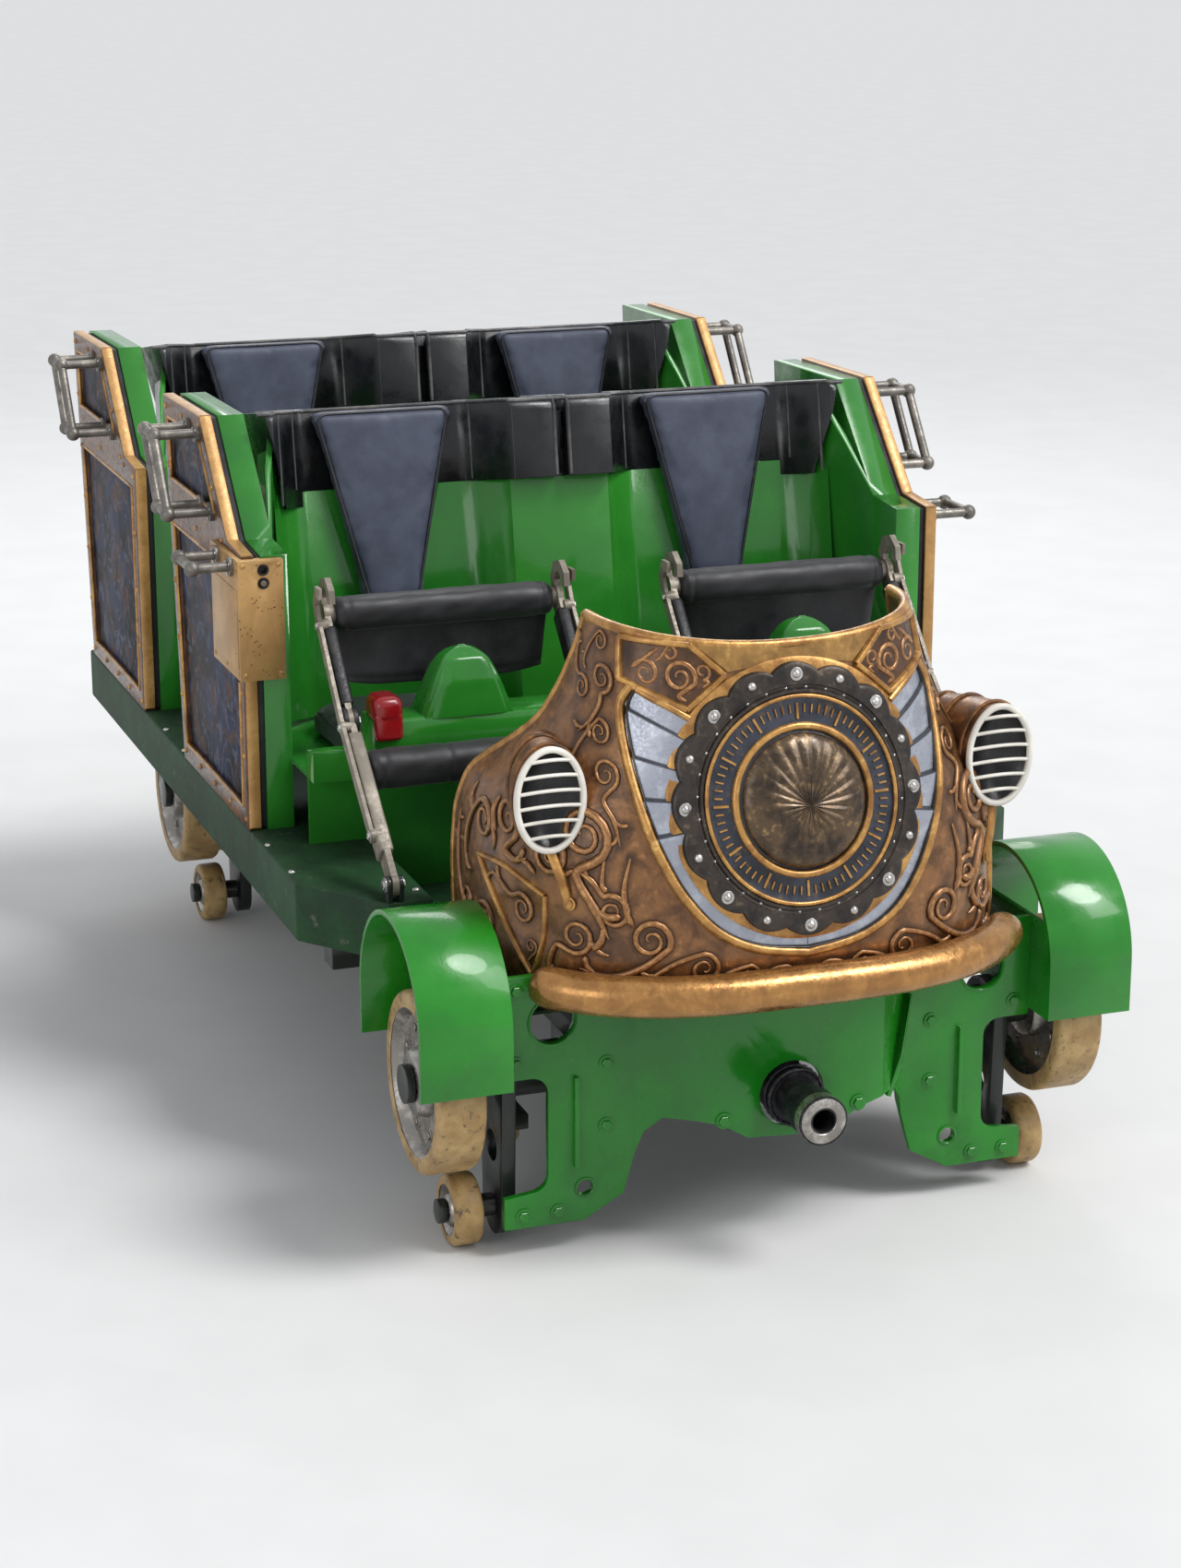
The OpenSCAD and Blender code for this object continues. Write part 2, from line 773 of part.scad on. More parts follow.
// Places across one seat at which the backrest's front changes.
function back_steps(w) = let (flat = pad_top_w / 2 + 4)
    concat([0], [for (i = [5:-1:0]) seat_y - flat - bolster_w * i / 5],
           [for (i = [0:5]) min(seat_y + flat + bolster_w * i / 5, w - 6 + i)], [w]);

// Front of the backrest in plan, from y -w to w.
function back_front(w, d) = let (h = back_steps(w)) concat(
    [for (i = [len(h) - 1:-1:1]) [back_x(h[i], d), -h[i]]],
    [for (i = [0:len(h) - 1]) [back_x(h[i], d), h[i]]]);

// Outline in plan of a sheet of thickness t that follows the backrest.
function back_plan(w, d, t) = let (f = back_front(w, d))
    concat(f, [for (i = [len(f) - 1:-1:0]) [f[i][0] - t, f[i][1]]]);

// Places children on the reclined backrest, z up along it from the pad's foot.
module on_back() {
    translate([back_foot_x, 0, back_foot])
        rotate([0, -recline, 0])
            children();
}

// Space of the head shells in the backrest's own frame, grown by d.
module head_room(d) {
    top = back_len + 60;
    along_x(-200, 200)
        polygon([[-ear_out - d, ear_low - d], [-ear_in + d, ear_low - d], [-ear_in + d, head_low - d],
                 [ear_in - d, head_low - d], [ear_in - d, ear_low - d], [ear_out + d, ear_low - d],
                 [head_top_y + d, top], [-head_top_y - d, top]]);
}

// Room that the brass box takes out of the first row's right pod.
module box_room(n) {
    if (n == 1)
        translate([pod_front + box_proud - box_len - seat_gap, -side_y - 20, box_low - seat_gap])
            cube([box_len + 20, side_y + 20 - box_in, box_h + 2 * seat_gap]);
}

lip_reach = 70;
lip_half = 162;
lip_front = seat_front + lip_reach;
pommel_h = 101;
pommel_t = 100;

// Bell-shaped post on the lip of a seat.
module pommel() {
    top = lip_z + pommel_h;
    back = lip_front - pommel_t;
    intersection() {
        along_x(back, lip_front)
            polygon([for (i = [-12:12]) [i * 9.2, lip_z - 65 + (pommel_h + 65) * exp(-pow(abs(i) / 8, 3))]]);
        along_y(-90, 90)
            polygon([[back, lip_z - 65], [lip_front - 6, lip_z - 65], [lip_front - 6, lip_z],
                     [lip_front - 11, top - 50], [lip_front - 22, top - 14], [lip_front - 40, top],
                     [back + 40, top - 4], [back + 20, top - 38]]);
    }
}

// Raised lip of a seat, which overhangs the shin pad.
module lip() {
    along_y(-lip_half, lip_half)
        polygon([[seat_front - 10, pan_z - pan_t], [seat_front, pan_z - pan_t], [lip_front - 14, lip_z - 66],
                 [lip_front, lip_z - 56], [lip_front, lip_z - 18], [lip_front - 5, lip_z - 5],
                 [lip_front - 18, lip_z], [seat_front - 4, lip_z], [seat_front - 10, lip_z - 8]]);
}

// Wall that sweeps from the flange in to the backrest.
module sweep_wall() {
    translate([0, 0, sill_z])
        linear_extrude(head_z)
            polygon([[180, flange_y + 1], [90, flange_y - 22], [30, back_edge - 8],
                     [-60, back_edge - 10], [-60, back_edge - 2],
                     [24, back_edge], [84, flange_y - 14], [160, flange_y + 1]]);
}

// Moulded shell of one row: side boxes, backrest, seat pan and pommels.
module seat_shell(n) {
    color(grass_green)
        in_row(n) {
            difference() {
                union() {
                    both()
                        difference() {
                            along_y(flange_y, shell_y)
                                polygon(pod_side);
                            along_y(flange_y + shell_t, shell_y + 1)
                                polygon(inset(pod_side, shell_t));
                        }
                    difference() {
                        intersection() {
                            union() {
                                both()
                                    sweep_wall();
                                on_back()
                                    translate([0, 0, pan_z - back_foot + 10])
                                        linear_extrude(back_len + 100)
                                            polygon(back_plan(back_edge, 66, shell_t));
                            }
                            along_y(-flange_y - 1, flange_y + 1)
                                polygon(pod_side);
                        }
                        on_back()
                            head_room(seat_gap);
                    }
                    // Seat pan with its lip and front wall.
                    translate([10, -flange_y - 1, pan_z - pan_t])
                        cube([seat_front - 10, 2 * flange_y + 2, pan_t]);
                    translate([seat_front - 40, -flange_y - 1, pan_z - pan_t])
                        cube([40, 2 * flange_y + 2, front_lip + pan_t]);
                    translate([seat_front - 40, -flange_y - 1, sill_z])
                        cube([pan_t, 2 * flange_y + 2, pan_z - sill_z]);
                    translate([seat_front - 40, seat_gap - sill_in, floor_z])
                        cube([pan_t, 2 * (sill_in - seat_gap), pan_z - floor_z]);
                }
                box_room(n);
            }
            both()
                translate([0, seat_y, 0]) {
                    lip();
                    pommel();
                }
        }
}

module seat_shell_1() {
    seat_shell(1);
}

module seat_shell_2() {
    seat_shell(2);
}

// Side view of the head shells in the backrest's own frame, with rounded front corners.
function head_side() = concat(
    [[-140, ear_low - 1]], arc([36, ear_low + 24], 26, -90, 0, 5),
    arc([40, back_len - 22], 22, 0, 90, 5), [[-140, back_len]]);

joint_w = 18;
joint_deep = 26;

// Joint between the two shells of a row, open at the front and over the top.
module head_joint() {
    front = 36 + 26;
    along_y(-joint_w / 2, joint_w / 2)
        polygon([[front - joint_deep, ear_low - 2], [front + 20, ear_low - 2], [front + 20, back_len + 2],
                 [-142, back_len + 2], [-142, back_len - joint_deep], [front - joint_deep, back_len - joint_deep]]);
}

// Black shells round the heads of each row, each with an ear that hangs lower at its outer side.
module head_shells() {
    color(satin_black)
        for (n = [1, 2])
            in_row(n)
                on_back()
                    difference() {
                        intersection() {
                            translate([0, 0, ear_low])
                                linear_extrude(back_len - ear_low)
                                    polygon(concat(back_front(head_top_y, 96),
                                        [[-124, head_top_y - 10], [-124, 10 - head_top_y]]));
                            head_room(0);
                            along_y(-head_top_y - 1, head_top_y + 1)
                                polygon(head_side());
                        }
                        head_joint();
                    }
}

// Tapering pads in front of the backrests.
module back_pads() {
    color(pad_blue)
        for (n = [1, 2])
            in_row(n)
                both()
                    on_back()
                        translate([0, seat_y, 0])
                            along_x(-pad_t, 0)
                                polygon([[-pad_low_w / 2, pad_foot], [pad_low_w / 2, pad_foot],
                                         [pad_top_w / 2, back_len + 4], [-pad_top_w / 2, back_len + 4]]);
}

// Cushions on the seat pans.
module seat_cushions() {
    w = cushion_w / 2;
    front = seat_front - 40 - seat_gap;
    color(satin_black)
        for (n = [1, 2])
            in_row(n)
                both()
                    translate([0, seat_y, pan_z + seat_gap])
                        linear_extrude(cushion_t)
                            polygon([[66, -128], [118, -w], [front, -w], [front, w], [118, w], [66, 128]]);
}

waist_low = head_z - 225;
waist_high = head_z - 145;

// Everything of an outline drawn in x and z, apart from the waist.
module windows(d) {
    difference() {
        along_y(0, side_y + 1)
            polygon(inset(pod_side, frame_w + d));
        translate([-400, -1, waist_low - d])
            cube([900, side_y + 3, waist_high - waist_low + 2 * d]);
    }
}

// Bronze frames on the outside of the pods, each with a lower and an upper window.
module side_panels() {
    color(bronze)
        for (n = [1, 2])
            in_row(n)
                difference() {
                    both()
                        difference() {
                            along_y(side_y - panel_t, side_y)
                                polygon(pod_side);
                            windows(0);
                        }
                    box_room(n);
                }
}

// Recessed plates in the windows of the side panels.
module inset_panels() {
    color(inset_blue)
        for (n = [1, 2])
            in_row(n)
                difference() {
                    both()
                        intersection() {
                            windows(seat_gap);
                            translate([-400, side_y - panel_t, 0])
                                cube([900, panel_t - inset_deep, 2000]);
                        }
                    box_room(n);
                }
}

// Black gaskets between the pods and the side panels.
module side_gaskets() {
    color(satin_black)
        for (n = [1, 2])
            in_row(n)
                difference() {
                    both()
                        along_y(shell_y, shell_y + gasket_t)
                            polygon(inset(pod_side, 4));
                    box_room(n);
                }
}

// Columns: x from the headrest's front and height of each standoff.
grab_feet = [[-12, head_z - 30], [-82, head_z - 30], [75, head_z - 148], [5, head_z - 148]];
// The same for the longer set of the first row.
front_feet = concat(grab_feet, [[246, head_z - 206], [150, head_z - 206]]);
grab_links = [[0, 2], [1, 3], [0, 1], [2, 3]];
front_links = concat(grab_links, [[4, 5]]);

// Standoffs with ball ends, joined by slanted rods and short level bars.
// Feet after the fourth stand on a face that is proud by step.
module grab_set(feet, links, step = 0) {
    y = side_y + grab_reach;
    for (i = [0:len(feet) - 1])
        let (p = feet[i], y0 = side_y + (i > 3 ? step : 0)) {
        rod_y(p[0], p[1], y0, y, grab_d);
        rod_y(p[0], p[1], y0, y0 + 6, grab_d + 16);
        translate([p[0], y, p[1]])
            sphere(d = grab_d + 10);
    }
    for (l = links)
        bar([feet[l[0]][0], y, feet[l[0]][1]], [feet[l[1]][0], y, feet[l[1]][1]], grab_d);
}

// Grab rods outside the pods.
module grab_rods() {
    color(steel_grey) {
        in_row(1) {
            grab_set(front_feet, front_links);
            mirror([0, 1, 0])
                grab_set(front_feet, front_links, box_out);
        }
        in_row(2)
            both()
                grab_set(grab_feet, grab_links);
    }
}

box_len = 190;
box_h = 200;
box_drop = 390;
box_low = head_z - box_drop;
box_proud = 17;
box_out = 10;
box_in = 556;

// Brass box in the corner of the first row's right pod.
module control_box() {
    x = pod_front + box_proud;
    color(brass)
        in_row(1)
            difference() {
                translate([x - box_len, -side_y - box_out, box_low])
                    cube([box_len, side_y + box_out - box_in - seat_gap, box_h]);
                for (z = [162, 184])
                    rod_x(-box_in - 34, box_low + z, x - 12, x + 1, 12);
            }
}

/* Restraints */

lug_t = 7;
lug_gap = 1;
lug_r = 14;
pedestal_y = 128;
pivot_x = pivot_ahead;

// Pair of lugs and the pin through them, on a base at height z.
module pivot_lugs(y, z) {
    difference() {
        for (s = [-1, 1])
            let (y0 = y + s * (arm_t / 2 + lug_gap + lug_t / 2) - lug_t / 2)
            along_y(y0, y0 + lug_t) {
                translate([pivot_x, pivot_z])
                    circle(r = lug_r);
                translate([pivot_x - lug_r, z])
                    square([2 * lug_r, pivot_z - z]);
            }
    }
    rod_y(pivot_x, pivot_z, y - arm_t / 2 - lug_gap - lug_t, y + arm_t / 2 + lug_gap + lug_t, pin_d);
}

// Lugs on the sills and on a pedestal between the seats.
module restraint_brackets() {
    color(deep_green)
        for (n = [1, 2])
            in_row(n) {
                both() {
                    pivot_lugs(seat_y + arm_y, sill_z);
                    pivot_lugs(seat_y - arm_y, sill_z);
                }
                translate([pivot_x - 60, -pedestal_y, floor_z])
                    cube([60 + lug_r, 2 * pedestal_y, sill_z - floor_z]);
            }
}

latch_y = 140;
latch_d = 36;
latch_t = 4;

// Red latches at the outer ends of the lips, each with a tab in front of its lip.
module latches() {
    color(latch_red)
        for (n = [1, 2])
            in_row(n)
                both()
                    translate([lip_front - latch_d / 2 - 4, seat_y + latch_y, 0]) {
                        translate([0, 0, lip_z])
                            cylinder(h = 32, d = latch_d);
                        translate([latch_d / 2 + 4 + seat_gap, -latch_d / 2 + 4, lip_z - 24])
                            cube([latch_t, latch_d - 8, 40]);
                        translate([0, -latch_d / 2 + 4, lip_z + 2])
                            cube([latch_d / 2 + 4 + latch_t, latch_d - 8, 14]);
                    }
}

// Columns: x and z from the foot pivot.
knee = [-240, 200];
lap_end = [-375, 345];
shin_mid = [-185, 133];
crook = [[-375, 345], [-386, 374], [-376, 396], [-354, 402], [-336, 390], [-333, 372]];
// Path of the thin strap beside each arm.
strap_path = [[-62, 62], [-222, 196], [-350, 334], [-368, 366], [-358, 388], [-338, 388]];
strap_w = 18;
strap_t = 6;
strap_out = 8;

// Thin strap outside the arm on side t, on spacers at its foot, its elbow and its top.
module lap_strap(t) {
    face = t * (arm_y + arm_t / 2);
    far = face + t * (strap_out + strap_t);
    near = face + t * strap_out;
    along_y(min(near, far), max(near, far))
        polygon(band(strap_path, strap_w));
    for (p = [strap_path[0], strap_path[1], strap_path[2]])
        rod_y(p[0], p[1], min(face - t * 3, far), max(face - t * 3, far), strap_w + 4);
}

// Lap bar of one seat: arms with crooks and straps, the lap tube and the shin tube.
module lap_bar(n, s) {
    color(taupe)
        in_row(n)
            translate([pivot_x, s * seat_y, pivot_z])
                difference() {
                    union() {
                        for (y = [-arm_y, arm_y])
                            along_y(y - arm_t / 2, y + arm_t / 2) {
                                circle(r = arm_w / 2 + 1);
                                polygon(band([[0, 0], knee, lap_end], arm_w));
                                polygon(band(crook, arm_w - 16));
                                translate(knee)
                                    circle(r = arm_w / 2 + 5);
                                translate(lap_end)
                                    circle(r = tube_d / 2 + 4);
                                translate(shin_mid)
                                    circle(r = tube_d / 2 + 6);
                            }
                        rod_y(lap_end[0], lap_end[1], -arm_y, arm_y, tube_d);
                        rod_y(shin_mid[0], shin_mid[1], -arm_y, arm_y, tube_d);
                        for (t = [-1, 1])
                            lap_strap(t);
                    }
                    rod_y(0, 0, -arm_y - arm_t, arm_y + arm_t, pin_d + 2 * spin_gap);
                }
}

pad_end = 10;

// Soft sleeves on the lap tube and the shin tube of one seat.
module lap_pads(n, s) {
    color(satin_black)
        in_row(n)
            translate([pivot_x, s * seat_y, pivot_z])
                for (p = [[lap_end, lap_pad_d], [shin_mid, shin_pad_d]])
                    difference() {
                        rod_y(p[0][0], p[0][1], -arm_y + pad_end, arm_y - pad_end, p[1]);
                        rod_y(p[0][0], p[0][1], -arm_y, arm_y, tube_d + 2 * seat_gap);
                    }
}

module lap_bar_1l() { lap_bar(1, 1); }
module lap_bar_1r() { lap_bar(1, -1); }
module lap_bar_2l() { lap_bar(2, 1); }
module lap_bar_2r() { lap_bar(2, -1); }
module lap_pads_1l() { lap_pads(1, 1); }
module lap_pads_1r() { lap_pads(1, -1); }
module lap_pads_2l() { lap_pads(2, 1); }
module lap_pads_2r() { lap_pads(2, -1); }

/* Wheels */

// Wheel turned about its axis, with a tyre band, dished sides and a hub bore.
module wheel(d, w, bore, hub) {
    r = d / 2;
    dish = w / 6;
    half = [[bore / 2, w / 2], [hub, w / 2], [hub + 6, w / 2 - dish], [r - 20, w / 2 - dish],
            [r - 16, w / 2], [r - 3, w / 2], [r, w / 2 - 3]];
    color(tyre_cream)
        rotate_extrude($fn = 64)
            polygon(concat(half, [for (i = [len(half) - 1:-1:0]) [half[i][0], -half[i][1]]]));
}

// Road wheel on top of a rail, side s is 1 on the left.
module road_wheel(x, s) {
    car()
        translate([-x, s * rail_y, road_z])
            rotate([90, 0, 0])
                wheel(road_d, road_w, axle_d + 2 * spin_gap, 38);
}

// Upstop wheel under a rail.
module upstop_wheel(x, s) {
    car()
        translate([-x, s * (upstop_y0 + upstop_w / 2), upstop_z])
            rotate([90, 0, 0])
                wheel(upstop_d, upstop_w, stub_d + 2 * spin_gap, 20);
}

// Guide wheel inside a rail, on an upright pin.
module guide_wheel(x, s) {
    car()
        translate([-x - guide_back, s * guide_y, guide_z])
            wheel(guide_d, guide_w, stub_d + 2 * spin_gap, 20);
}

module road_wheel_fl() { road_wheel(axle_front, 1); }
module road_wheel_fr() { road_wheel(axle_front, -1); }
module road_wheel_rl() { road_wheel(axle_rear, 1); }
module road_wheel_rr() { road_wheel(axle_rear, -1); }
module guide_wheel_fl() { guide_wheel(axle_front, 1); }
module guide_wheel_fr() { guide_wheel(axle_front, -1); }
module guide_wheel_rl() { guide_wheel(axle_rear, 1); }
module guide_wheel_rr() { guide_wheel(axle_rear, -1); }
module upstop_wheel_fl() { upstop_wheel(axle_front, 1); }
module upstop_wheel_fr() { upstop_wheel(axle_front, -1); }
module upstop_wheel_rl() { upstop_wheel(axle_rear, 1); }
module upstop_wheel_rr() { upstop_wheel(axle_rear, -1); }

chassis_frame();
front_plate();
rear_plate();
front_axle();
rear_axle();
front_fenders();
coupler_tube();
rear_hitch();
floor_pan();
nose_shell();
nose_border();
medallion();
bumper();
lamps();
seat_shell_1();
seat_shell_2();
head_shells();
back_pads();
seat_cushions();
side_panels();
inset_panels();
side_gaskets();
grab_rods();
control_box();
restraint_brackets();
latches();
road_wheel_fl();
road_wheel_fr();
road_wheel_rl();
road_wheel_rr();
guide_wheel_fl();
guide_wheel_fr();
guide_wheel_rl();
guide_wheel_rr();
upstop_wheel_fl();
upstop_wheel_fr();
upstop_wheel_rl();
upstop_wheel_rr();
lap_bar_1l();
lap_bar_1r();
lap_bar_2l();
lap_bar_2r();
lap_pads_1l();
lap_pads_1r();
lap_pads_2l();
lap_pads_2r();
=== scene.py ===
"""Looks of the roller coaster lead car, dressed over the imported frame.

x runs forward to the nose, y to the riders' left and z up from the floor, in metres.
"""

from math import copysign, cos, pi, radians, sin, sqrt

import bmesh
import bpy
import numpy as np
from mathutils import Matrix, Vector
from mathutils.bvhtree import BVHTree
from mathutils.kdtree import KDTree


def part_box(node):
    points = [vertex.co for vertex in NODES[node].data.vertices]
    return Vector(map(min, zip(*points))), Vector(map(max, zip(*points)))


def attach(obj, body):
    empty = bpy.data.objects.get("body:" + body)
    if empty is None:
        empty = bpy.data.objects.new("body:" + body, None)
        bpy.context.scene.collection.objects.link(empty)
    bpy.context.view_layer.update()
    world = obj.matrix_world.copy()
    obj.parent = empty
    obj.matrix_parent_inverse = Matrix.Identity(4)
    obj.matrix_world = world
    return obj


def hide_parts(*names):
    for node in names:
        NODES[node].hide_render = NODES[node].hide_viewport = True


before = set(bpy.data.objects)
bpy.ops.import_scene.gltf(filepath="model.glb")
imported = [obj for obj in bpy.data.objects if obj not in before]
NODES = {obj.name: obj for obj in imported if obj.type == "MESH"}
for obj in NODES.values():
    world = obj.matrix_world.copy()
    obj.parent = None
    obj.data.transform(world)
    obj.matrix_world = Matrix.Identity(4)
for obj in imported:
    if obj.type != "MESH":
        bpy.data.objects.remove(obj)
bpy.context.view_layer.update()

ORIGIN_X = 1.025
ROW_X = {1: ORIGIN_X - 1.030, 2: ORIGIN_X - 1.850}
SEAT_Y = 0.300
SIDES = ((1, "l"), (-1, "r"))
SEATS = [(row, side, s) for row in (1, 2) for s, side in SIDES]


# ---------------------------------------------------------------- materials


def linear(colour):
    """A display colour from 0 to 255 as the linear colour that a shader takes."""
    v = np.array(colour) / 255
    return (*np.where(v <= 0.04045, v / 12.92, ((v + 0.055) / 1.055) ** 2.4), 1.0)


class Graph:
    """A material and a short way to add nodes to it. Colours are display colours from 0 to 255."""

    def __init__(self, name, rough=0.5, metal=0.0, **shader):
        self.material = bpy.data.materials.new(name)
        self.material.use_nodes = True
        self.tree = self.material.node_tree
        self.shader = self.tree.nodes["Principled BSDF"].inputs
        for key, value in {"Roughness": rough, "Metallic": metal, **shader}.items():
            self.shader[key.replace("_", " ")].default_value = value
        self.place = self.node("TexCoord", {})["Object"]

    def put(self, socket, value):
        if isinstance(value, bpy.types.NodeSocket):
            self.tree.links.new(value, socket)
        else:
            socket.default_value = linear(value) if isinstance(value, tuple) else value

    def node(self, kind, sockets, **settings):
        """Outputs of a new node with these settings and these values or links in its sockets."""
        n = self.tree.nodes.new("ShaderNode" + kind)
        for key, value in settings.items():
            setattr(n, key, value)
        for key, value in sockets.items():
            self.put(n.inputs[key], value)
        return n.outputs

    def noise(self, scale, detail=3.0, rough=0.55, distort=0.0):
        return self.node("TexNoise", {"Vector": self.place, "Scale": scale, "Detail": detail, "Roughness": rough,
                                      "Distortion": distort})["Fac"]

    def cells(self, scale):
        return self.node("TexVoronoi", {"Vector": self.place, "Scale": scale})["Distance"]

    def range(self, value, low, high, to_low=0.0, to_high=1.0):
        return self.node("MapRange", {"Value": value, "From Min": low, "From Max": high, "To Min": to_low,
                                      "To Max": to_high}, interpolation_type="SMOOTHSTEP")["Result"]

    def lay(self, under, over, mask, *shares):
        """One colour over another, as far as a mask and its shares allow."""
        for share in shares:
            mask = self.node("Math", {0: mask, 1: share}, operation="MULTIPLY")["Value"]
        return self.node("Mix", {"Factor": mask, 6: under, 7: over}, data_type="RGBA")[2]

    def attribute(self, name):
        return self.node("Attribute", {}, attribute_name=name)["Fac"]

    def bump(self, height, distance, strength, **below):
        return self.node("Bump", {"Strength": strength, "Distance": distance, "Height": height, **below})["Normal"]

    def done(self, tone, normal, rough=None):
        self.put(self.shader["Base Color"], tone)
        self.put(self.shader["Normal"], normal)
        if rough is not None:
            self.put(self.shader["Roughness"], rough)
        return self.material


def gloss_paint(name, base, dark, scuff, rough=0.24, grime=0.5):
    """Glossy paint over moulded or folded sheet, with handling marks and grime in its lower parts."""
    g = Graph(name, rough, Specular_IOR_Level=0.35, Coat_Weight=0.35, Coat_Roughness=0.08)
    tone = g.lay(dark, base, g.range(g.noise(3.5, 4.0), 0.3, 0.7))
    tone = g.lay(tone, scuff, g.range(g.noise(26.0, 6.0, 0.7, 1.2), 0.66, 0.78), 0.35)
    low = g.range(g.node("SeparateXYZ", {"Vector": g.place})["Z"], 0.75, 0.05)
    tone = g.lay(tone, (40, 44, 34), g.range(g.noise(9.0, 5.0, 0.65), 0.42, 0.75), low, grime)
    peel = g.bump(g.noise(160.0, 2.0), 0.0006, 0.25)
    return g.done(tone, g.bump(g.noise(7.0, 2.0), 0.004, 0.18, Normal=peel),
                  g.range(g.noise(14.0, 5.0, 0.6), 0.3, 0.75, rough - 0.08, rough + 0.16))


def antique(name, low, mid, high, rough=0.38, metal=0.55, hollow=False):
    """Aged bronze: brown on the flats and gold where it is rubbed, and painted shade in the hollows round the carving
    where asked.
    """
    g = Graph(name, rough, metal, Coat_Weight=0.25, Coat_Roughness=0.2)
    mottle, fine = g.noise(24.0, 6.0, 0.62, 0.4), g.noise(95.0, 4.0, 0.6)
    tone = g.lay(low, mid, g.range(mottle, 0.34, 0.62))
    tone = g.lay(tone, high, g.range(fine, 0.52, 0.74), g.range(mottle, 0.4, 0.7))
    if hollow:
        # Painted shade: darker where the skin lies near its carving.
        tone = g.lay(tone, (46, 30, 20), g.range(g.attribute("hollow"), 0.25, 0.9), 0.72)
    return g.done(tone, g.bump(g.noise(190.0, 3.0), 0.0008, 0.4, Normal=g.bump(mottle, 0.002, 0.3)),
                  g.range(fine, 0.3, 0.7, rough - 0.1, rough + 0.15))


def carving():
    """Carved scrolls: painted shade where they meet the shield and a painted gold highlight along their crests."""
    g = Graph("carving", 0.34, 0.6, Coat_Weight=0.3, Coat_Roughness=0.18)
    fine, crest = g.noise(120.0, 4.0, 0.6), g.attribute("crest")
    # The crest value runs from 0 at a ribbon's feet to 1 on its top: painted shade low, painted highlight high, broken
    # up by noise.
    tone = g.lay((58, 39, 25), (138, 95, 56), g.range(crest, 0.05, 0.75))
    tone = g.lay(tone, (188, 140, 84), g.range(crest, 0.75, 1.0), g.range(fine, 0.42, 0.7))
    return g.done(tone, g.bump(g.noise(230.0, 3.0), 0.0006, 0.4), g.range(fine, 0.3, 0.7, 0.26, 0.48))


def metal(name, base, worn, rough=0.35, shine=0.9, hollow=False):
    """Bare or thinly finished metal with fine scratches."""
    g = Graph(name, rough, shine)
    tone = g.lay(base, worn, g.range(g.noise(30.0, 6.0, 0.65), 0.45, 0.7))
    if hollow:
        # Painted shade at the steps between overlapping slats.
        tone = g.lay(tone, (40, 42, 48), g.range(g.attribute("hollow"), 0.0, 1.0, 0.0, 0.85))
    line = g.noise(240.0, 3.0, 0.6)
    return g.done(tone, g.bump(line, 0.0005, 0.35), g.range(line, 0.3, 0.7, rough - 0.08, rough + 0.18))


def vinyl(name, base, light, rough=0.48, grain=900.0):
    """Fine leather-grained vinyl with soft wear."""
    g = Graph(name, rough, Sheen_Weight=0.12, Sheen_Roughness=0.4)
    tone = g.lay(base, light, g.range(g.noise(9.0, 5.0, 0.6), 0.35, 0.7))
    wear = g.bump(g.noise(18.0, 3.0), 0.002, 0.25)
    return g.done(tone, g.bump(g.cells(grain), 0.0004, 0.5, Normal=wear),
                  g.range(g.noise(22.0, 4.0), 0.3, 0.7, rough - 0.08, rough + 0.1))


def moulded(name, base, light, rough=0.42):
    """Moulded plastic or rubber with a fine texture."""
    g = Graph(name, rough)
    tone = g.lay(base, light, g.range(g.noise(12.0, 5.0, 0.6), 0.4, 0.7))
    return g.done(tone, g.bump(g.noise(420.0, 3.0), 0.0004, 0.45),
                  g.range(g.noise(30.0, 4.0), 0.3, 0.7, rough - 0.1, rough + 0.12))


def layered(g, base, layers, relief=None, depth=0.0006, specks=()):
    """Colours laid over a base where their noise passes from low to high, each with its share, if any."""
    tone = base
    for colour, noise, low, high, *share in layers:
        tone = g.lay(tone, colour, g.range(g.noise(*noise), low, high), *share)
    if specks:
        tone = g.lay(tone, specks, g.range(g.cells(150.0), 0.26, 0.12), g.range(g.noise(40.0, 2.0), 0.46, 0.56))
    normal = g.bump(g.noise(*relief), depth, 0.4) if relief else g.bump(g.cells(330.0), 0.0012, 0.7)
    return g.done(tone, normal)


GREEN = gloss_paint("green_paint", (30, 132, 26), (18, 110, 22), (92, 158, 80), grime=0.3)
GREEN_SHELL = gloss_paint("green_shell", (48, 132, 40), (34, 112, 34), (116, 168, 98), 0.18, 0.3)
BRONZE = antique("antique_bronze", (92, 63, 39), (136, 94, 56), (178, 130, 80), 0.34, hollow=True)
BRONZE_PLAIN = antique("plain_bronze", (84, 57, 36), (134, 92, 55), (196, 146, 84))
DOME = antique("dome_bronze", (48, 38, 30), (92, 74, 54), (178, 146, 98), 0.3, 0.7)
CARVING = carving()
DIAL = layered(Graph("dial_face", 0.36, 0.35, Coat_Weight=0.3, Coat_Roughness=0.15), (26, 28, 34),
               [((56, 60, 72), (16.0, 6.0, 0.6, 0.6), 0.34, 0.66), ((104, 84, 58), (48.0, 5.0, 0.65), 0.56, 0.72)],
               (170.0, 4.0), 0.0008)
GOLD = antique("old_gold", (142, 98, 48), (190, 142, 76), (232, 192, 120), 0.34, 0.6)
OCHRE = antique("ochre_field", (128, 94, 48), (162, 122, 64), (196, 158, 92), 0.36, 0.5)
BUMPER = antique("bumper_bronze", (150, 106, 58), (174, 126, 69), (200, 153, 90), 0.25, 0.7)
GUNMETAL = antique("gunmetal", (34, 30, 28), (62, 54, 47), (112, 98, 80), 0.4, 0.6)
COPPER = antique("copper_brown", (62, 40, 26), (106, 70, 42), (170, 120, 66), 0.36, 0.5)
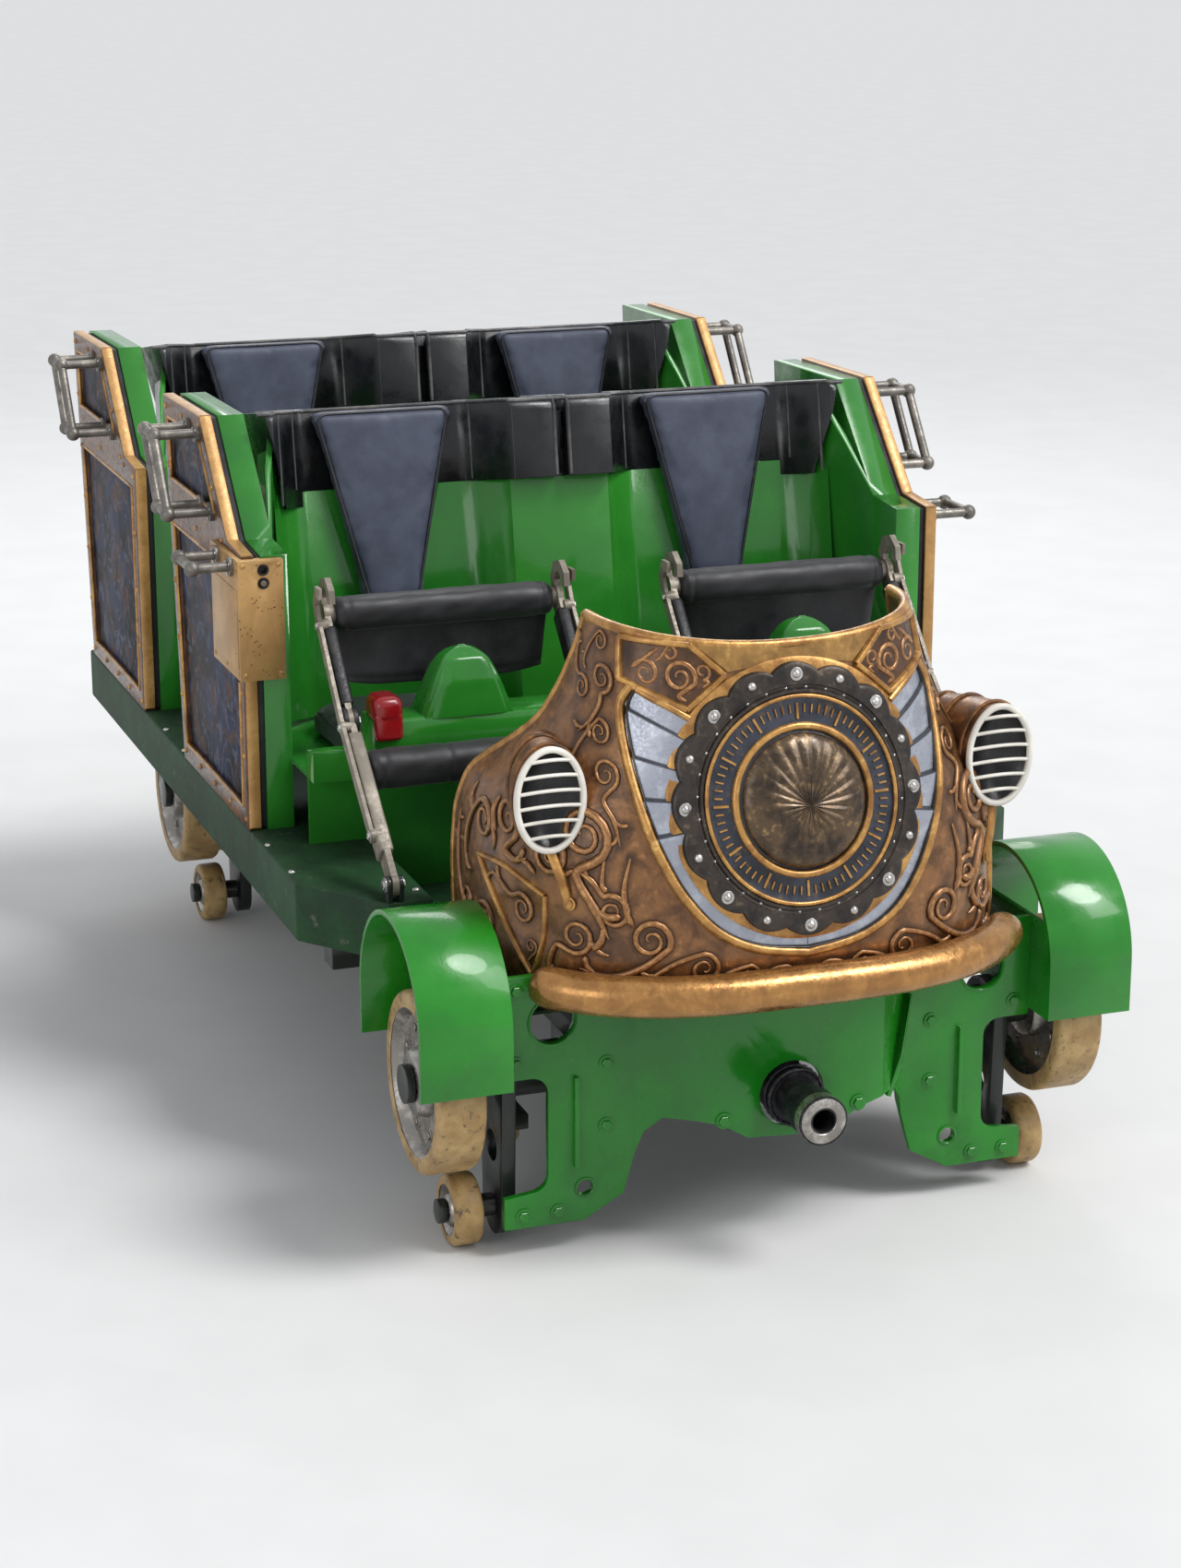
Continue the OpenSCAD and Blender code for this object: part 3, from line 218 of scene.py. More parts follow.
TAN = antique("edge_tan", (172, 128, 72), (190, 146, 86), (210, 168, 106), 0.36, 0.35)
PANEL = antique("panel_bronze", (58, 40, 27), (92, 63, 40), (140, 100, 60))
SILVER = metal("silver_field", (158, 162, 172), (186, 190, 198), 0.34, 0.7, hollow=True)
STUD = metal("stud_silver", (178, 176, 172), (212, 210, 206), 0.26, 0.95)
PEWTER = metal("pewter", (112, 108, 102), (150, 144, 134), 0.42, 0.7)
STEEL = metal("dark_steel", (42, 42, 46), (78, 76, 76), 0.42, 0.8)
BRIGHT = metal("worn_steel", (138, 134, 128), (196, 190, 182), 0.3, 0.95)
TAUPE = metal("bar_taupe", (122, 114, 102), (158, 150, 136), 0.44, 0.35)
BLACK_BAR = metal("bar_black", (24, 24, 26), (52, 50, 50), 0.4, 0.4)
FRAME = gloss_paint("frame_paint", (34, 40, 36), (24, 28, 26), (74, 76, 70), 0.42, 0.8)
RED = gloss_paint("latch_red", (150, 18, 24), (112, 12, 18), (190, 70, 66), 0.28, 0.2)
BUTTON = moulded("button_brown", (92, 80, 70), (132, 116, 100), 0.4)
SHELL_BLACK = moulded("shell_black", (15, 16, 18), (25, 26, 29), 0.27)
RUBBER = moulded("black_rubber", (15, 15, 16), (30, 30, 31), 0.62)
# Lighter grey, a painted highlight on the head shells' glossy edges.
EDGE_HIGHLIGHT = moulded("shell_edge_highlight", (58, 58, 60), (104, 102, 98), 0.26)
WHITE = moulded("lamp_white", (206, 202, 192), (232, 228, 218), 0.36)
PAD = vinyl("pad_vinyl", (50, 56, 74), (74, 80, 98), 0.5, 700.0)
SEAT = vinyl("seat_vinyl", (20, 21, 25), (40, 41, 46), 0.5, 700.0)
PIPING = vinyl("piping", (20, 20, 24), (44, 44, 50), 0.3, 900.0)
SLEEVE = vinyl("sleeve_vinyl", (18, 18, 20), (40, 40, 43), 0.46, 800.0)
# Dark inset plates with a smoky mix of blue, brown and soot.
INSET = layered(Graph("inset_smoke", 0.6, Specular_IOR_Level=0.3), (12, 13, 19),
                [((36, 46, 74), (5.0, 4.0, 0.55, 1.2), 0.38, 0.60),
                 ((80, 54, 37), (7.0, 5.0, 0.62, 2.4), 0.48, 0.62, 0.8),
                 ((98, 102, 116), (11.0, 4.0, 0.55, 4.5), 0.52, 0.64, 0.55),
                 ((12, 12, 15), (17.0, 4.0, 0.6, 1.0), 0.52, 0.66)], (120.0, 4.0), 0.0008)
# Tan brass-coloured sheet with dark specks.
BOX = layered(Graph("box_tan", 0.42, 0.35), (160, 122, 72), [((194, 154, 98), (8.0, 5.0), 0.35, 0.7)],
              (260.0, 3.0), specks=(52, 38, 26))
# Dark green floor with a gritty anti-slip coat.
FLOOR = layered(Graph("floor_grit", 0.66, Specular_IOR_Level=0.35), (13, 42, 19),
                [((27, 70, 34), (6.0, 5.0, 0.65), 0.35, 0.7), ((86, 92, 80), (38.0, 6.0, 0.7), 0.6, 0.74)])
# Cream polyurethane running band, dirty where it rolls.
TYRE = layered(Graph("wheel_band"), (150, 120, 74),
               [((186, 156, 104), (20.0, 5.0, 0.6), 0.35, 0.7), ((84, 70, 50), (60.0, 5.0, 0.7), 0.52, 0.7)],
               (150.0, 4.0))

DRESS = {
    GREEN: ["front_plate", "rear_plate", "front_fenders"],
    GREEN_SHELL: ["seat_shell_1", "seat_shell_2"],
    FRAME: ["chassis_frame", "front_axle", "rear_axle", "restraint_brackets"],
    STEEL: ["coupler_tube", "rear_hitch"],
    BRONZE: ["nose_shell", "lamps"],
    FLOOR: ["floor_pan"], GOLD: ["nose_border"], GUNMETAL: ["medallion"], BUMPER: ["bumper"],
    SHELL_BLACK: ["head_shells"], PAD: ["back_pads"], SEAT: ["seat_cushions"], COPPER: ["side_panels"],
    INSET: ["inset_panels"], RUBBER: ["side_gaskets"], PEWTER: ["grab_rods"], BOX: ["control_box"], RED: ["latches"],
    TYRE: [n for n in NODES if "_wheel_" in n],
    TAUPE: [n for n in NODES if n.startswith("lap_bar_")],
    SLEEVE: [n for n in NODES if n.startswith("lap_pads_")],
}
for material, names in DRESS.items():
    for name in names:
        NODES[name].data.materials.clear()
        NODES[name].data.materials.append(material)

# How far the sharp edges of a CAD node are rounded where it shows. A modifier does it, so its mesh stays.
ROUNDED = {
    0.001: ["inset_panels", "side_gaskets", "front_axle", "rear_axle"],
    0.0015: ["restraint_brackets"],
    0.002: ["rear_plate", "front_fenders", "chassis_frame", "control_box", "rear_hitch"],
    0.003: ["front_plate", "seat_shell_1", "seat_shell_2", "side_panels"],
    0.004: ["floor_pan"],
    0.006: ["latches"],
    0.008: ["back_pads"],
    0.010: ["seat_cushions"],
    0.012: ["head_shells"],
}
for width, names in ROUNDED.items():
    for name in names:
        NODES[name].modifiers.new("weld", "WELD").merge_threshold = 1e-5
        bevel = NODES[name].modifiers.new("round", "BEVEL")
        bevel.width, bevel.segments, bevel.limit_method = width, 2, "ANGLE"
        bevel.angle_limit = radians(35)
        bevel.harden_normals = True
        for p in NODES[name].data.polygons:
            p.use_smooth = True


# ---------------------------------------------------------------- building helpers


def linked(name, data):
    """An object in the scene."""
    o = bpy.data.objects.new(name, data)
    bpy.context.scene.collection.objects.link(o)
    return o


def add(name, verts, faces, material, slot, body="chassis", sharp=40, swap=(), values=None, picks=None):
    """A mesh piece that rides on a body. Values are point attributes, picks a material index per face."""
    mesh = bpy.data.meshes.new(name)
    mesh.from_pydata([tuple(map(float, v)) for v in verts], [], [tuple(map(int, f)) for f in faces])
    bm = bmesh.new()
    bm.from_mesh(mesh)
    bmesh.ops.recalc_face_normals(bm, faces=bm.faces)
    bm.to_mesh(mesh)
    bm.free()
    for m in material if isinstance(material, list) else [material]:
        mesh.materials.append(m)
    for p in mesh.polygons:
        p.use_smooth = True
        if picks is not None:
            p.material_index = int(picks[p.index])
    mesh.set_sharp_from_angle(angle=radians(sharp))
    for key, data in (values or {}).items():
        mesh.attributes.new(key, "FLOAT", "POINT").data.foreach_set("value", np.asarray(data, np.float32))
    o = linked(name, mesh)
    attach(o, body)
    if swap:
        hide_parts(*swap)
    return o


class Parts:
    """Points and faces of several forms that are joined in one piece."""

    def __init__(self):
        self.v, self.f, self.k, self.n = [], [], [], 0

    def put(self, verts, faces, kind=0):
        verts = np.asarray(verts, float).reshape(-1, 3)
        self.v.append(verts)
        self.f += [tuple(i + self.n for i in f) for f in faces]
        self.k += [kind] * len(faces)
        self.n += len(verts)

    def piece(self, name, material, slot, **more):
        return add(name, np.vstack(self.v), self.f, material, slot, picks=self.k, **more)


def grid_faces(rows, cols, wrap_rows=False, wrap_cols=False):
    """Quads over a grid of points that is stored row by row."""
    out = []
    for i in range(rows if wrap_rows else rows - 1):
        for j in range(cols if wrap_cols else cols - 1):
            a, b = i * cols + j, i * cols + (j + 1) % cols
            up = ((i + 1) % rows) * cols - i * cols
            out.append((a, b, b + up, a + up))
    return out


def pipe_faces(rows, cols):
    """Quads of rings of points, and a face at each end."""
    return grid_faces(rows, cols, wrap_cols=True) + [tuple(range(cols - 1, -1, -1)),
                                                     tuple(range((rows - 1) * cols, rows * cols))]


def edges(points):
    """Each point of a closed outline with the one after it."""
    return zip(points, points[1:] + points[:1])


def shell_faces(rows, cols):
    """Faces over a grid of outer points and the same grid of inner points, joined along their rim."""
    m, grid = rows * cols, grid_faces(rows, cols)
    rim = ([i * cols for i in range(rows)] + [m - cols + j for j in range(1, cols)]
           + [i * cols + cols - 1 for i in range(rows - 2, -1, -1)] + list(range(cols - 2, 0, -1)))
    return grid + [tuple(m + k for k in reversed(f)) for f in grid] + [(a, b, b + m, a + m) for a, b in edges(rim)]


def unit(v):
    v = np.asarray(v, float)
    return v / np.maximum(np.linalg.norm(v, axis=-1, keepdims=True), 1e-12)


def circle(steps):
    """Angles of evenly spaced points on a circle."""
    return np.linspace(0, 2 * pi, steps, endpoint=False)


def squircle(a, n):
    """Points at angles on a round-cornered square."""
    c, s = np.cos(a), np.sin(a)
    r = (np.abs(c) ** n + np.abs(s) ** n) ** (-1 / n)
    return r * c, r * s


def smooth_path(points, per=8):
    """Catmull-Rom curve through points."""
    p = np.asarray(points, float)
    out = []
    for i in range(len(p) - 1):
        a, b, c, d = p[max(i - 1, 0)], p[i], p[i + 1], p[min(i + 2, len(p) - 1)]
        for t in np.arange(per) / per:
            out.append(0.5 * (2 * b + (c - a) * t + (2 * a - 5 * b + 4 * c - d) * t * t
                              + (3 * b - a - 3 * c + d) * t ** 3))
    return np.array(out + [p[-1]])


def tube(path, radius, sides=12, closed=False, up=(0, 0, 1), flat=1.0):
    """Round or flattened tube along a path; the radius may vary from point to point."""
    path = np.asarray(path, float)
    n = len(path)
    radius = np.broadcast_to(np.asarray(radius, float), n)
    ahead = np.roll(path, -1, 0) if closed else np.vstack([path[1:], path[-1:] * 2 - path[-2:-1]])
    back = np.roll(path, 1, 0) if closed else np.vstack([path[:1] * 2 - path[1:2], path[:-1]])
    t = unit(ahead - back)
    side = unit(np.cross(np.broadcast_to(np.asarray(up, float), t.shape), t))
    top = np.cross(t, side)
    a = circle(sides)
    ring = (path[:, None] + radius[:, None, None] * (np.cos(a)[None, :, None] * side[:, None]
            + flat * np.sin(a)[None, :, None] * top[:, None]))
    faces = grid_faces(n, sides, True, True) if closed else pipe_faces(n, sides)
    return ring.reshape(-1, 3), faces


def turned(profile, centre, axis, steps=48):
    """Profile of (radius, height) points turned about an axis through a centre."""
    w = unit(axis)
    u = unit(np.cross(w, (0.0, 0.0, 1.0) if abs(w[2]) < 0.9 else (1.0, 0.0, 0.0)))
    v = np.cross(w, u)
    a = circle(steps)
    p = np.asarray(profile, float)
    spin = np.cos(a)[:, None] * u + np.sin(a)[:, None] * v
    pts = np.asarray(centre, float) + p[None, :, 0, None] * spin[:, None] + p[None, :, 1, None] * w
    return pts.reshape(-1, 3), grid_faces(steps, len(p), wrap_rows=True)


def bolt(parts, place, out, r=0.008, h=0.006, hexagon=True, washer=True):
    """Bolt head with a washer, or a domed rivet, that stands on a face and points outward."""
    if washer:
        parts.put(*turned([(0, -0.001), (r * 1.45, -0.001), (r * 1.45, h * 0.3), (r * 1.35, h * 0.36),
                           (r * 0.9, h * 0.36)], place, out, 20))
    if hexagon:
        head = [(r, h * 0.85), (r * 0.88, h), (0, h)]
    else:
        head = [(r * cos(t), h * sin(t)) for t in np.linspace(0, pi / 2, 6)]
    parts.put(*turned([(0, -0.001), (r, -0.001)] + head, place, out, 6 if hexagon else 16))


def rivet(parts, place, out, r, h):
    bolt(parts, place, out, r, h, hexagon=False, washer=False)


def rounded_box(low, high, r=0.004, steps=2):
    """Box with rounded edges, as points and faces."""
    bm = bmesh.new()
    bmesh.ops.create_cube(bm, size=1.0)
    low, high = np.asarray(low, float), np.asarray(high, float)
    for v in bm.verts:
        v.co = Vector((low + high) / 2 + np.array(v.co) * (high - low))
    bmesh.ops.bevel(bm, geom=bm.edges[:], offset=r, segments=steps, affect="EDGES", profile=0.5)
    bm.verts.index_update()
    out = [tuple(v.co) for v in bm.verts], [[v.index for v in f.verts] for f in bm.faces]
    bm.free()
    return out


# ---------------------------------------------------------------- the nose's skin

# Columns as in the part: height, front x at the middle, half width, rear x, squareness.
NOSE_ROWS = np.array([
    [0.390, 0.116, 0.408, -0.300, 3.0],
    [0.480, 0.128, 0.412, -0.300, 3.0],
    [0.560, 0.122, 0.413, -0.300, 3.0],
    [0.640, 0.108, 0.408, -0.296, 3.0],
    [0.700, 0.096, 0.391, -0.280, 2.9],
    [0.745, 0.086, 0.348, -0.230, 2.8],
    [0.790, 0.076, 0.311, -0.185, 2.7],
    [0.850, 0.062, 0.283, -0.165, 2.6],
    [0.910, 0.050, 0.263, -0.152, 2.5],
    [0.955, 0.040, 0.252, -0.145, 2.5]])
FLOOR_Z, HORN_Z, HORN_Y, HORN_DROP, NOSE_LIFT, NOSE_T = 0.390, 0.955, 0.252, 0.022, 0.026, 0.012
MEDAL_Z = 0.712


def nose_row(z):
    """The table's row at a height, with its corners rounded over about 20 mm."""
    reach, weights = 0.020, {-1: 1, -0.5: 2, 0: 2, 0.5: 2, 1: 1}
    return sum(w * np.array([np.interp(z + k * reach, NOSE_ROWS[:, 0], NOSE_ROWS[:, c]) for c in range(1, 5)])
               for k, w in weights.items()) / sum(weights.values())


# The ends of a quarter turn are stepped finely, because the skin's plan bends most there.
END, TURN = 0.12, pi / 2
ANGLES = np.concatenate([np.linspace(0, END, 12)[:-1], np.linspace(END, TURN - END, 90)[:-1],
                         np.linspace(TURN - END, TURN, 12)])
LEVELS = {}


def level(z):
    """Plan of the skin at a height: running length from the middle, x and y."""
    key = round(float(z), 4)
    if key not in LEVELS:
        f, w, b, q = nose_row(key)
        x = b + (f - b) * np.maximum(np.cos(ANGLES), 0) ** (2 / q)
        y = w * np.sin(ANGLES) ** (2 / q)
        LEVELS[key] = np.concatenate([[0], np.cumsum(np.hypot(np.diff(x), np.diff(y)))]), x, y
    return LEVELS[key]


def skin(u, z):
    """Point of the nose's skin at running length u from the middle and height z."""
    run, x, y = level(z)
    return np.array([ORIGIN_X + np.interp(abs(u), run, x), copysign(np.interp(abs(u), run, y), u), z])


def run_of(y, z):
    """Running length at which the skin has a given y."""
    run, x, ys = level(z)
    return copysign(np.interp(abs(y), ys, run), y)


def seen(points, s):
    """Points of the front view, (y, z), as (u, z) points on one side of the skin."""
    return [(s * run_of(y, z), z) for y, z in points]


def skin_out(u, z):
    """Outward direction of the skin."""
    e = 0.004
    return unit(np.cross(skin(u + e, z) - skin(u - e, z), skin(u, min(z + e, HORN_Z)) - skin(u, z - e)))


def proud(u, z, h):
    """Point that stands h off the skin."""
    return skin(u, z) + h * skin_out(u, z)


def front(y, z, h):
    """Point ahead of the skin by h, at a place in the front view."""
    return np.array([skin(run_of(y, z), z)[0] + h, y, z])


def dial(r, t, h):
    """Point ahead of the skin by h, at a radius and an angle about the medallion's middle."""
    return front(r * cos(t), MEDAL_Z + r * sin(t), h)


def ribbon(parts, path, width, height, kind=0, sides=6, painted_light=None):
    """Raised domed band along a path of (u, z) points on the skin. Width and height may vary along it."""
    sink, foot = 0.004, 0.42
    path = np.asarray(path, float)
    n = len(path)
    width, height = (np.broadcast_to(q, n)[:, None, None] for q in (width, height))
    base = np.array([skin(u, z) for u, z in path])
    out = np.array([skin_out(u, z) for u, z in path])
    ahead = np.vstack([base[1:], 2 * base[-1:] - base[-2:-1]])
    back = np.vstack([2 * base[:1] - base[1:2], base[:-1]])
    side = unit(np.cross(out, unit(ahead - back)))[:, None]
    t = np.linspace(-1, 1, sides + 1)
    rise = np.sqrt(np.maximum(1 - t ** 2, 0))
    top = base[:, None] + side * (t[:, None] * width / 2) + out[:, None] * (rise[:, None] * height)
    low = base[:, None] + side * (np.array([[1], [-1]]) * width * foot) - out[:, None] * sink
    pts = np.concatenate([top, low], axis=1)
    parts.put(pts, pipe_faces(n, pts.shape[1]), kind)
    # Height across the band, kept for the painted highlight on its crest and the painted shade at its feet.
    if painted_light is not None:
        painted_light.append(np.tile(np.concatenate([rise, [0, 0]]), n))


def scroll(centre, r, turns, start, hand, tail):
    """Path of a volute that winds out from its centre and runs on along a tail."""
    k = np.linspace(0, 1, 26)
    a = radians(start) - hand * 2 * pi * turns * (1 - k)
    rad = r * (0.12 + 0.88 * k ** 0.8)
    wind = np.stack([centre[0] + rad * np.cos(a), centre[1] + rad * np.sin(a)], 1)
    return np.vstack([wind, smooth_path(np.vstack([wind[-2:], np.asarray(tail, float)]), 9)[10:]])


# ---------------------------------------------------------------- nose


def nose_level(f, t):
    """Height of the nose's skin at a fraction of its run and of its height."""
    x = skin(f * level(FLOOR_Z)[0][-1], FLOOR_Z)[0] - ORIGIN_X
    low = FLOOR_Z + NOSE_LIFT * min(max(x / 0.05, 0), 1)
    y = skin(f * level(HORN_Z)[0][-1], HORN_Z)[1]
    high = HORN_Z - HORN_DROP * (1 - min(abs(y) / HORN_Y, 1) ** 2)
    return low + (high - low) * t


# Volutes on the cheeks, beside the shield and along the lower edge, with u and z in millimetres:
# centre, radius, turns, start angle, hand and tail.
CURLS = [
    ((330, 668), 40, 1.7, 250, 1, [(345, 610), (318, 560), (300, 520)]),
    ((292, 560), 26, 1.5, 60, -1, [(322, 604), (350, 620)]),
    ((238, 520), 30, 1.6, 200, 1, [(252, 478), (296, 462), (345, 470)]),
    ((160, 474), 24, 1.5, 90, -1, [(200, 486), (232, 466), (262, 438)]),
    ((92, 456), 19, 1.4, 100, -1, [(122, 466), (148, 446), (172, 432)]),
    ((34, 452), 16, 1.4, 80, -1, [(56, 464), (78, 446), (100, 434)]),
    ((392, 632), 30, 1.7, 120, -1, [(424, 668), (430, 704), (410, 738)]),
    ((350, 518), 27, 1.6, 300, 1, [(384, 500), (396, 470), (388, 438)]),
    ((480, 664), 31, 1.6, 250, 1, [(484, 620), (462, 610), (436, 618)]),
    ((450, 540), 23, 1.6, 80, -1, [(478, 556), (506, 570), (532, 580)]),
    ((434, 486), 13, 1.4, 250, 1, [(438, 464), (440, 458)]),
    ((562, 496), 29, 1.7, 200, 1, [(576, 452), (604, 436), (644, 432)]),
    ((556, 646), 28, 1.6, 60, -1, [(600, 644), (622, 604), (630, 556)]),
    ((630, 508), 22, 1.5, 280, 1, [(660, 530), (662, 590), (652, 640)]),
    ((292, 752), 22, 1.5, 250, 1, [(296, 716), (282, 690), (276, 656)]),
    ((300, 806), 18, 1.5, 90, -1, [(330, 796), (352, 766), (362, 736)]),
    ((296, 880), 22, 1.6, 270, 1, [(300, 842), (320, 816), (344, 800)]),
    ((342, 860), 17, 1.5, 60, -1, [(362, 884), (366, 910), (360, 930)]),
    ((300, 930), 14, 1.4, 90, -1, [(322, 926), (336, 908), (344, 890)]),
]
# Stems between the volutes: points and width, in millimetres.
STEMS = [
    ([(262, 640), (274, 596), (272, 560), (262, 540)], 12), ([(300, 640), (306, 600), (298, 590)], 10),
    ([(372, 462), (356, 444), (330, 434), (300, 436)], 12), ([(505, 690), (520, 668), (514, 640)], 12),
    ([(590, 690), (606, 668), (596, 648)], 10), ([(360, 700), (384, 684), (398, 660)], 10),
    ([(522, 610), (517, 630), (526, 650)], 9), ([(200, 452), (180, 440), (150, 432)], 8),
    ([(300, 494), (316, 500), (332, 520)], 9),
]


def carved_runs():
    """Paths and widths of the volutes, of two leaves at the end of each, and of the stems."""
    runs = []
    for centre, r, turns, start, hand, tail in CURLS:
        r /= 1000
        path = scroll(np.array(centre) / 1000, r, turns, start, hand, np.array(tail) / 1000)
        runs.append((path, r * 0.42))
        for share, way in ((0.84, -hand), (0.93, hand)):
            k = int(share * (len(path) - 2))
            ahead = unit(path[k + 1] - path[k])
            side = way * np.array([-ahead[1], ahead[0]])
            leaf = [path[k], path[k] + r * (0.50 * ahead + 0.28 * side), path[k] + r * (0.72 * ahead + 0.78 * side)]
            runs.append((smooth_path(leaf, 6), r * 0.36))
    return runs + [(smooth_path(np.array(points) / 1000, 8), w / 1000) for points, w in STEMS]


SCROLLS = carved_runs()

# Frame of the small curved panel low on each cheek, as the (u, z) points of its three edges.
CHEEK_PANEL = [smooth_path(points, 8) for points in (
    [(0.572, 0.592), (0.486, 0.594), (0.402, 0.570)],
    [(0.402, 0.570), (0.408, 0.505), (0.430, 0.440)],
    [(0.430, 0.440), (0.498, 0.512), (0.572, 0.592)])]

# The shield's border in the front view, from its lowest point up the left side: y and height.
BORDER = smooth_path([(0.0, 0.486), (0.08, 0.500), (0.14, 0.531), (0.186, 0.583), (0.216, 0.641), (0.234, 0.698),
                      (0.243, 0.755), (0.245, 0.810), (0.241, 0.850), (0.226, 0.876)], 6)


def nose_skin():
    """Smooth bronze shield with painted shade where it meets its carving."""
    cols, rows, reach = 181, 72, 0.020
    flat = []
    for t in np.linspace(0, 1, rows):
        for f in np.linspace(-1, 1, cols):
            z = nose_level(f, t)
            flat.append((f * level(z)[0][-1], z))
    outer = np.array([skin(u, z) for u, z in flat]).reshape(rows, cols, 3)
    n = unit(np.cross(np.gradient(outer, axis=1), np.gradient(outer, axis=0)))
    n[-1] = unit(n[-1] * (1, 1, 0))
    pts = np.vstack([outer.reshape(-1, 3), (outer - NOSE_T * n).reshape(-1, 3)])
    marks = np.vstack([p for p, w in SCROLLS])
    tree = KDTree(len(marks))
    for k, (u, z) in enumerate(marks):
        tree.insert((u, z, 0), k)
    tree.balance()
    near = np.array([tree.find((abs(u), z, 0))[2] for u, z in flat])
    # Painted shade, strongest at the carving and gone 20 mm from it.
    hollow = np.concatenate([np.clip(1 - near / reach, 0, 1), np.zeros(len(flat))])
    add("nose_skin", pts, shell_faces(rows, cols), BRONZE, "bronze_paint", swap=["nose_shell"],
        values={"hollow": hollow})


def carved(name, runs, s, slot):
    """Raised ribbons on one side of the skin that taper towards both ends; their crests carry a painted highlight."""
    parts, painted_light = Parts(), []
    for path, width in runs:
        k = np.linspace(0, 1, len(path))
        shape = width * (0.32 + 0.68 * np.minimum(1, 2.2 * k) ** 0.8) * np.clip((1 - k) / 0.16, 0.12, 1) ** 0.7
        ribbon(parts, path * (s, 1), shape, shape * 0.5, painted_light=painted_light)
    parts.piece(name, CARVING, slot, values={"crest": np.concatenate(painted_light)})


def nose_carving():
    """Scrolls and leaves on the shield, and the frame of the small panel low on each cheek."""
    for s, side in SIDES:
        carved(f"cheek_scrolls_{side}", SCROLLS, s, "bronze_paint")
        frames = Parts()
        for path in CHEEK_PANEL:
            ribbon(frames, path * (s, 1), 0.009, 0.006)
        frames.piece(f"cheek_frame_{side}", GOLD, "bronze_paint")


def shield_border():
    """Gold half-round border, its upper ends turned in to the medallion, with a fine bead inside it."""
    parts = Parts()
    turn = smooth_path([(0.226, 0.876), (0.205, 0.862), (0.180, 0.848), (0.158, 0.834)], 5)
    inner = [(y * (1 - 0.0090 / 0.25), z + 0.0085 * max(0.0, 1 - y / 0.24)) for y, z in BORDER]
    for s in (1, -1):
        ribbon(parts, seen(BORDER, s), 0.017, 0.010, sides=10)
        ribbon(parts, seen(turn, s), 0.013, 0.008, sides=8)
        ribbon(parts, seen(inner, s), 0.005, 0.0080, kind=1)
    parts.piece("shield_border", [GOLD, GUNMETAL], "gold_trim", swap=["nose_border"])


def silver_fields():
    """Overlapping silver slats between the medallion and the border on each side, with a plain band below them."""
    pitch, band, depth = 13.3, -23.5, 9
    angles = np.linspace(-90, 43, 10 * 20 + 1)
    edge = np.vstack([BORDER, [(0.226, 0.876), (0.190, 0.853), (0.150, 0.829)]])
    bearing = np.degrees(np.arctan2(edge[:, 1] - MEDAL_Z, edge[:, 0]))
    far = np.hypot(edge[:, 0], edge[:, 1] - MEDAL_Z)
    for s, side in SIDES:
        pts, hollow = [], []
        for a in angles:
            r1 = np.interp(a, bearing, far) - 0.004
            r0 = min(0.180, r1 - 0.01)
            slat = ((a + 90.01) / pitch) % 1 if a > band else 0.0
            rise = 0.0020 + 0.0060 * min(slat / 0.95, (1 - slat) / 0.05)
            for r in r0 + (r1 - r0) * np.arange(depth) / (depth - 1):
                y, z = r * cos(radians(a)), MEDAL_Z + r * sin(radians(a))
                pts.append(front(s * max(y, 0.0005), z, rise))
            # Painted shade along the step where each slat meets the next.
            hollow += [float(slat > 0.95 or (slat < 0.03 and a > band + 1))] * depth
        add(f"silver_field_{side}", pts, grid_faces(len(angles), depth), SILVER, "gold_trim", sharp=25,
            values={"hollow": hollow})


def patch(parts, corners, rise, s, kind=0):
    """Four-cornered patch that lies on the skin."""
    n = 14
    a, b, c, d = [np.asarray(p, float) for p in corners]
    share = np.linspace(0, 1, n)
    flat = [(a * (1 - i) + b * i) * (1 - j) + (d * (1 - i) + c * i) * j for i in share for j in share]
    parts.put([proud(u, z, rise) for u, z in seen(flat, s)], grid_faces(n, n), kind)


def upper_panels():
    """Framed panels with scrolls below the horns, and the plain ochre field between them."""
    frames, fields = Parts(), Parts()
    corners = np.array([(0.104, 0.894), (0.160, 0.846), (0.238, 0.884), (0.231, 0.943), (0.150, 0.938)])
    curls = [
        (0.166, 0.892, 0.024, 1.6, 200, 1, [(0.172, 0.866), (0.160, 0.858)], 0.010),
        (0.208, 0.896, 0.020, 1.5, 20, -1, [(0.212, 0.922), (0.196, 0.934)], 0.009),
        (0.176, 0.926, 0.011, 1.3, 90, -1, [(0.196, 0.918), (0.206, 0.914)], 0.007),
        (0.134, 0.900, 0.012, 1.3, 270, 1, [(0.128, 0.884), (0.140, 0.876)], 0.007)]
    for s, side in SIDES:
        for a, b in edges(list(corners)):
            ribbon(frames, seen([a + (b - a) * t for t in np.linspace(0, 1, 9)], s), 0.013, 0.008, sides=4)
        for four in ((0, 1, 2, 4), (2, 3, 4, 4)):
            patch(fields, corners[list(four)], 0.0018, s, kind=1)
        runs = [(scroll((run_of(y, z), z), *form), w) for y, z, *form, w in curls]
        carved(f"panel_scrolls_{side}", runs, s, "gold_trim")
        patch(fields, [(0.0, 0.912), (0.098, 0.899), (0.146, 0.941), (0.0, 0.928)], 0.0022, s)
    frames.piece("panel_frames", GOLD, "gold_trim")
    fields.piece("panel_fields", [OCHRE, PANEL], "gold_trim")


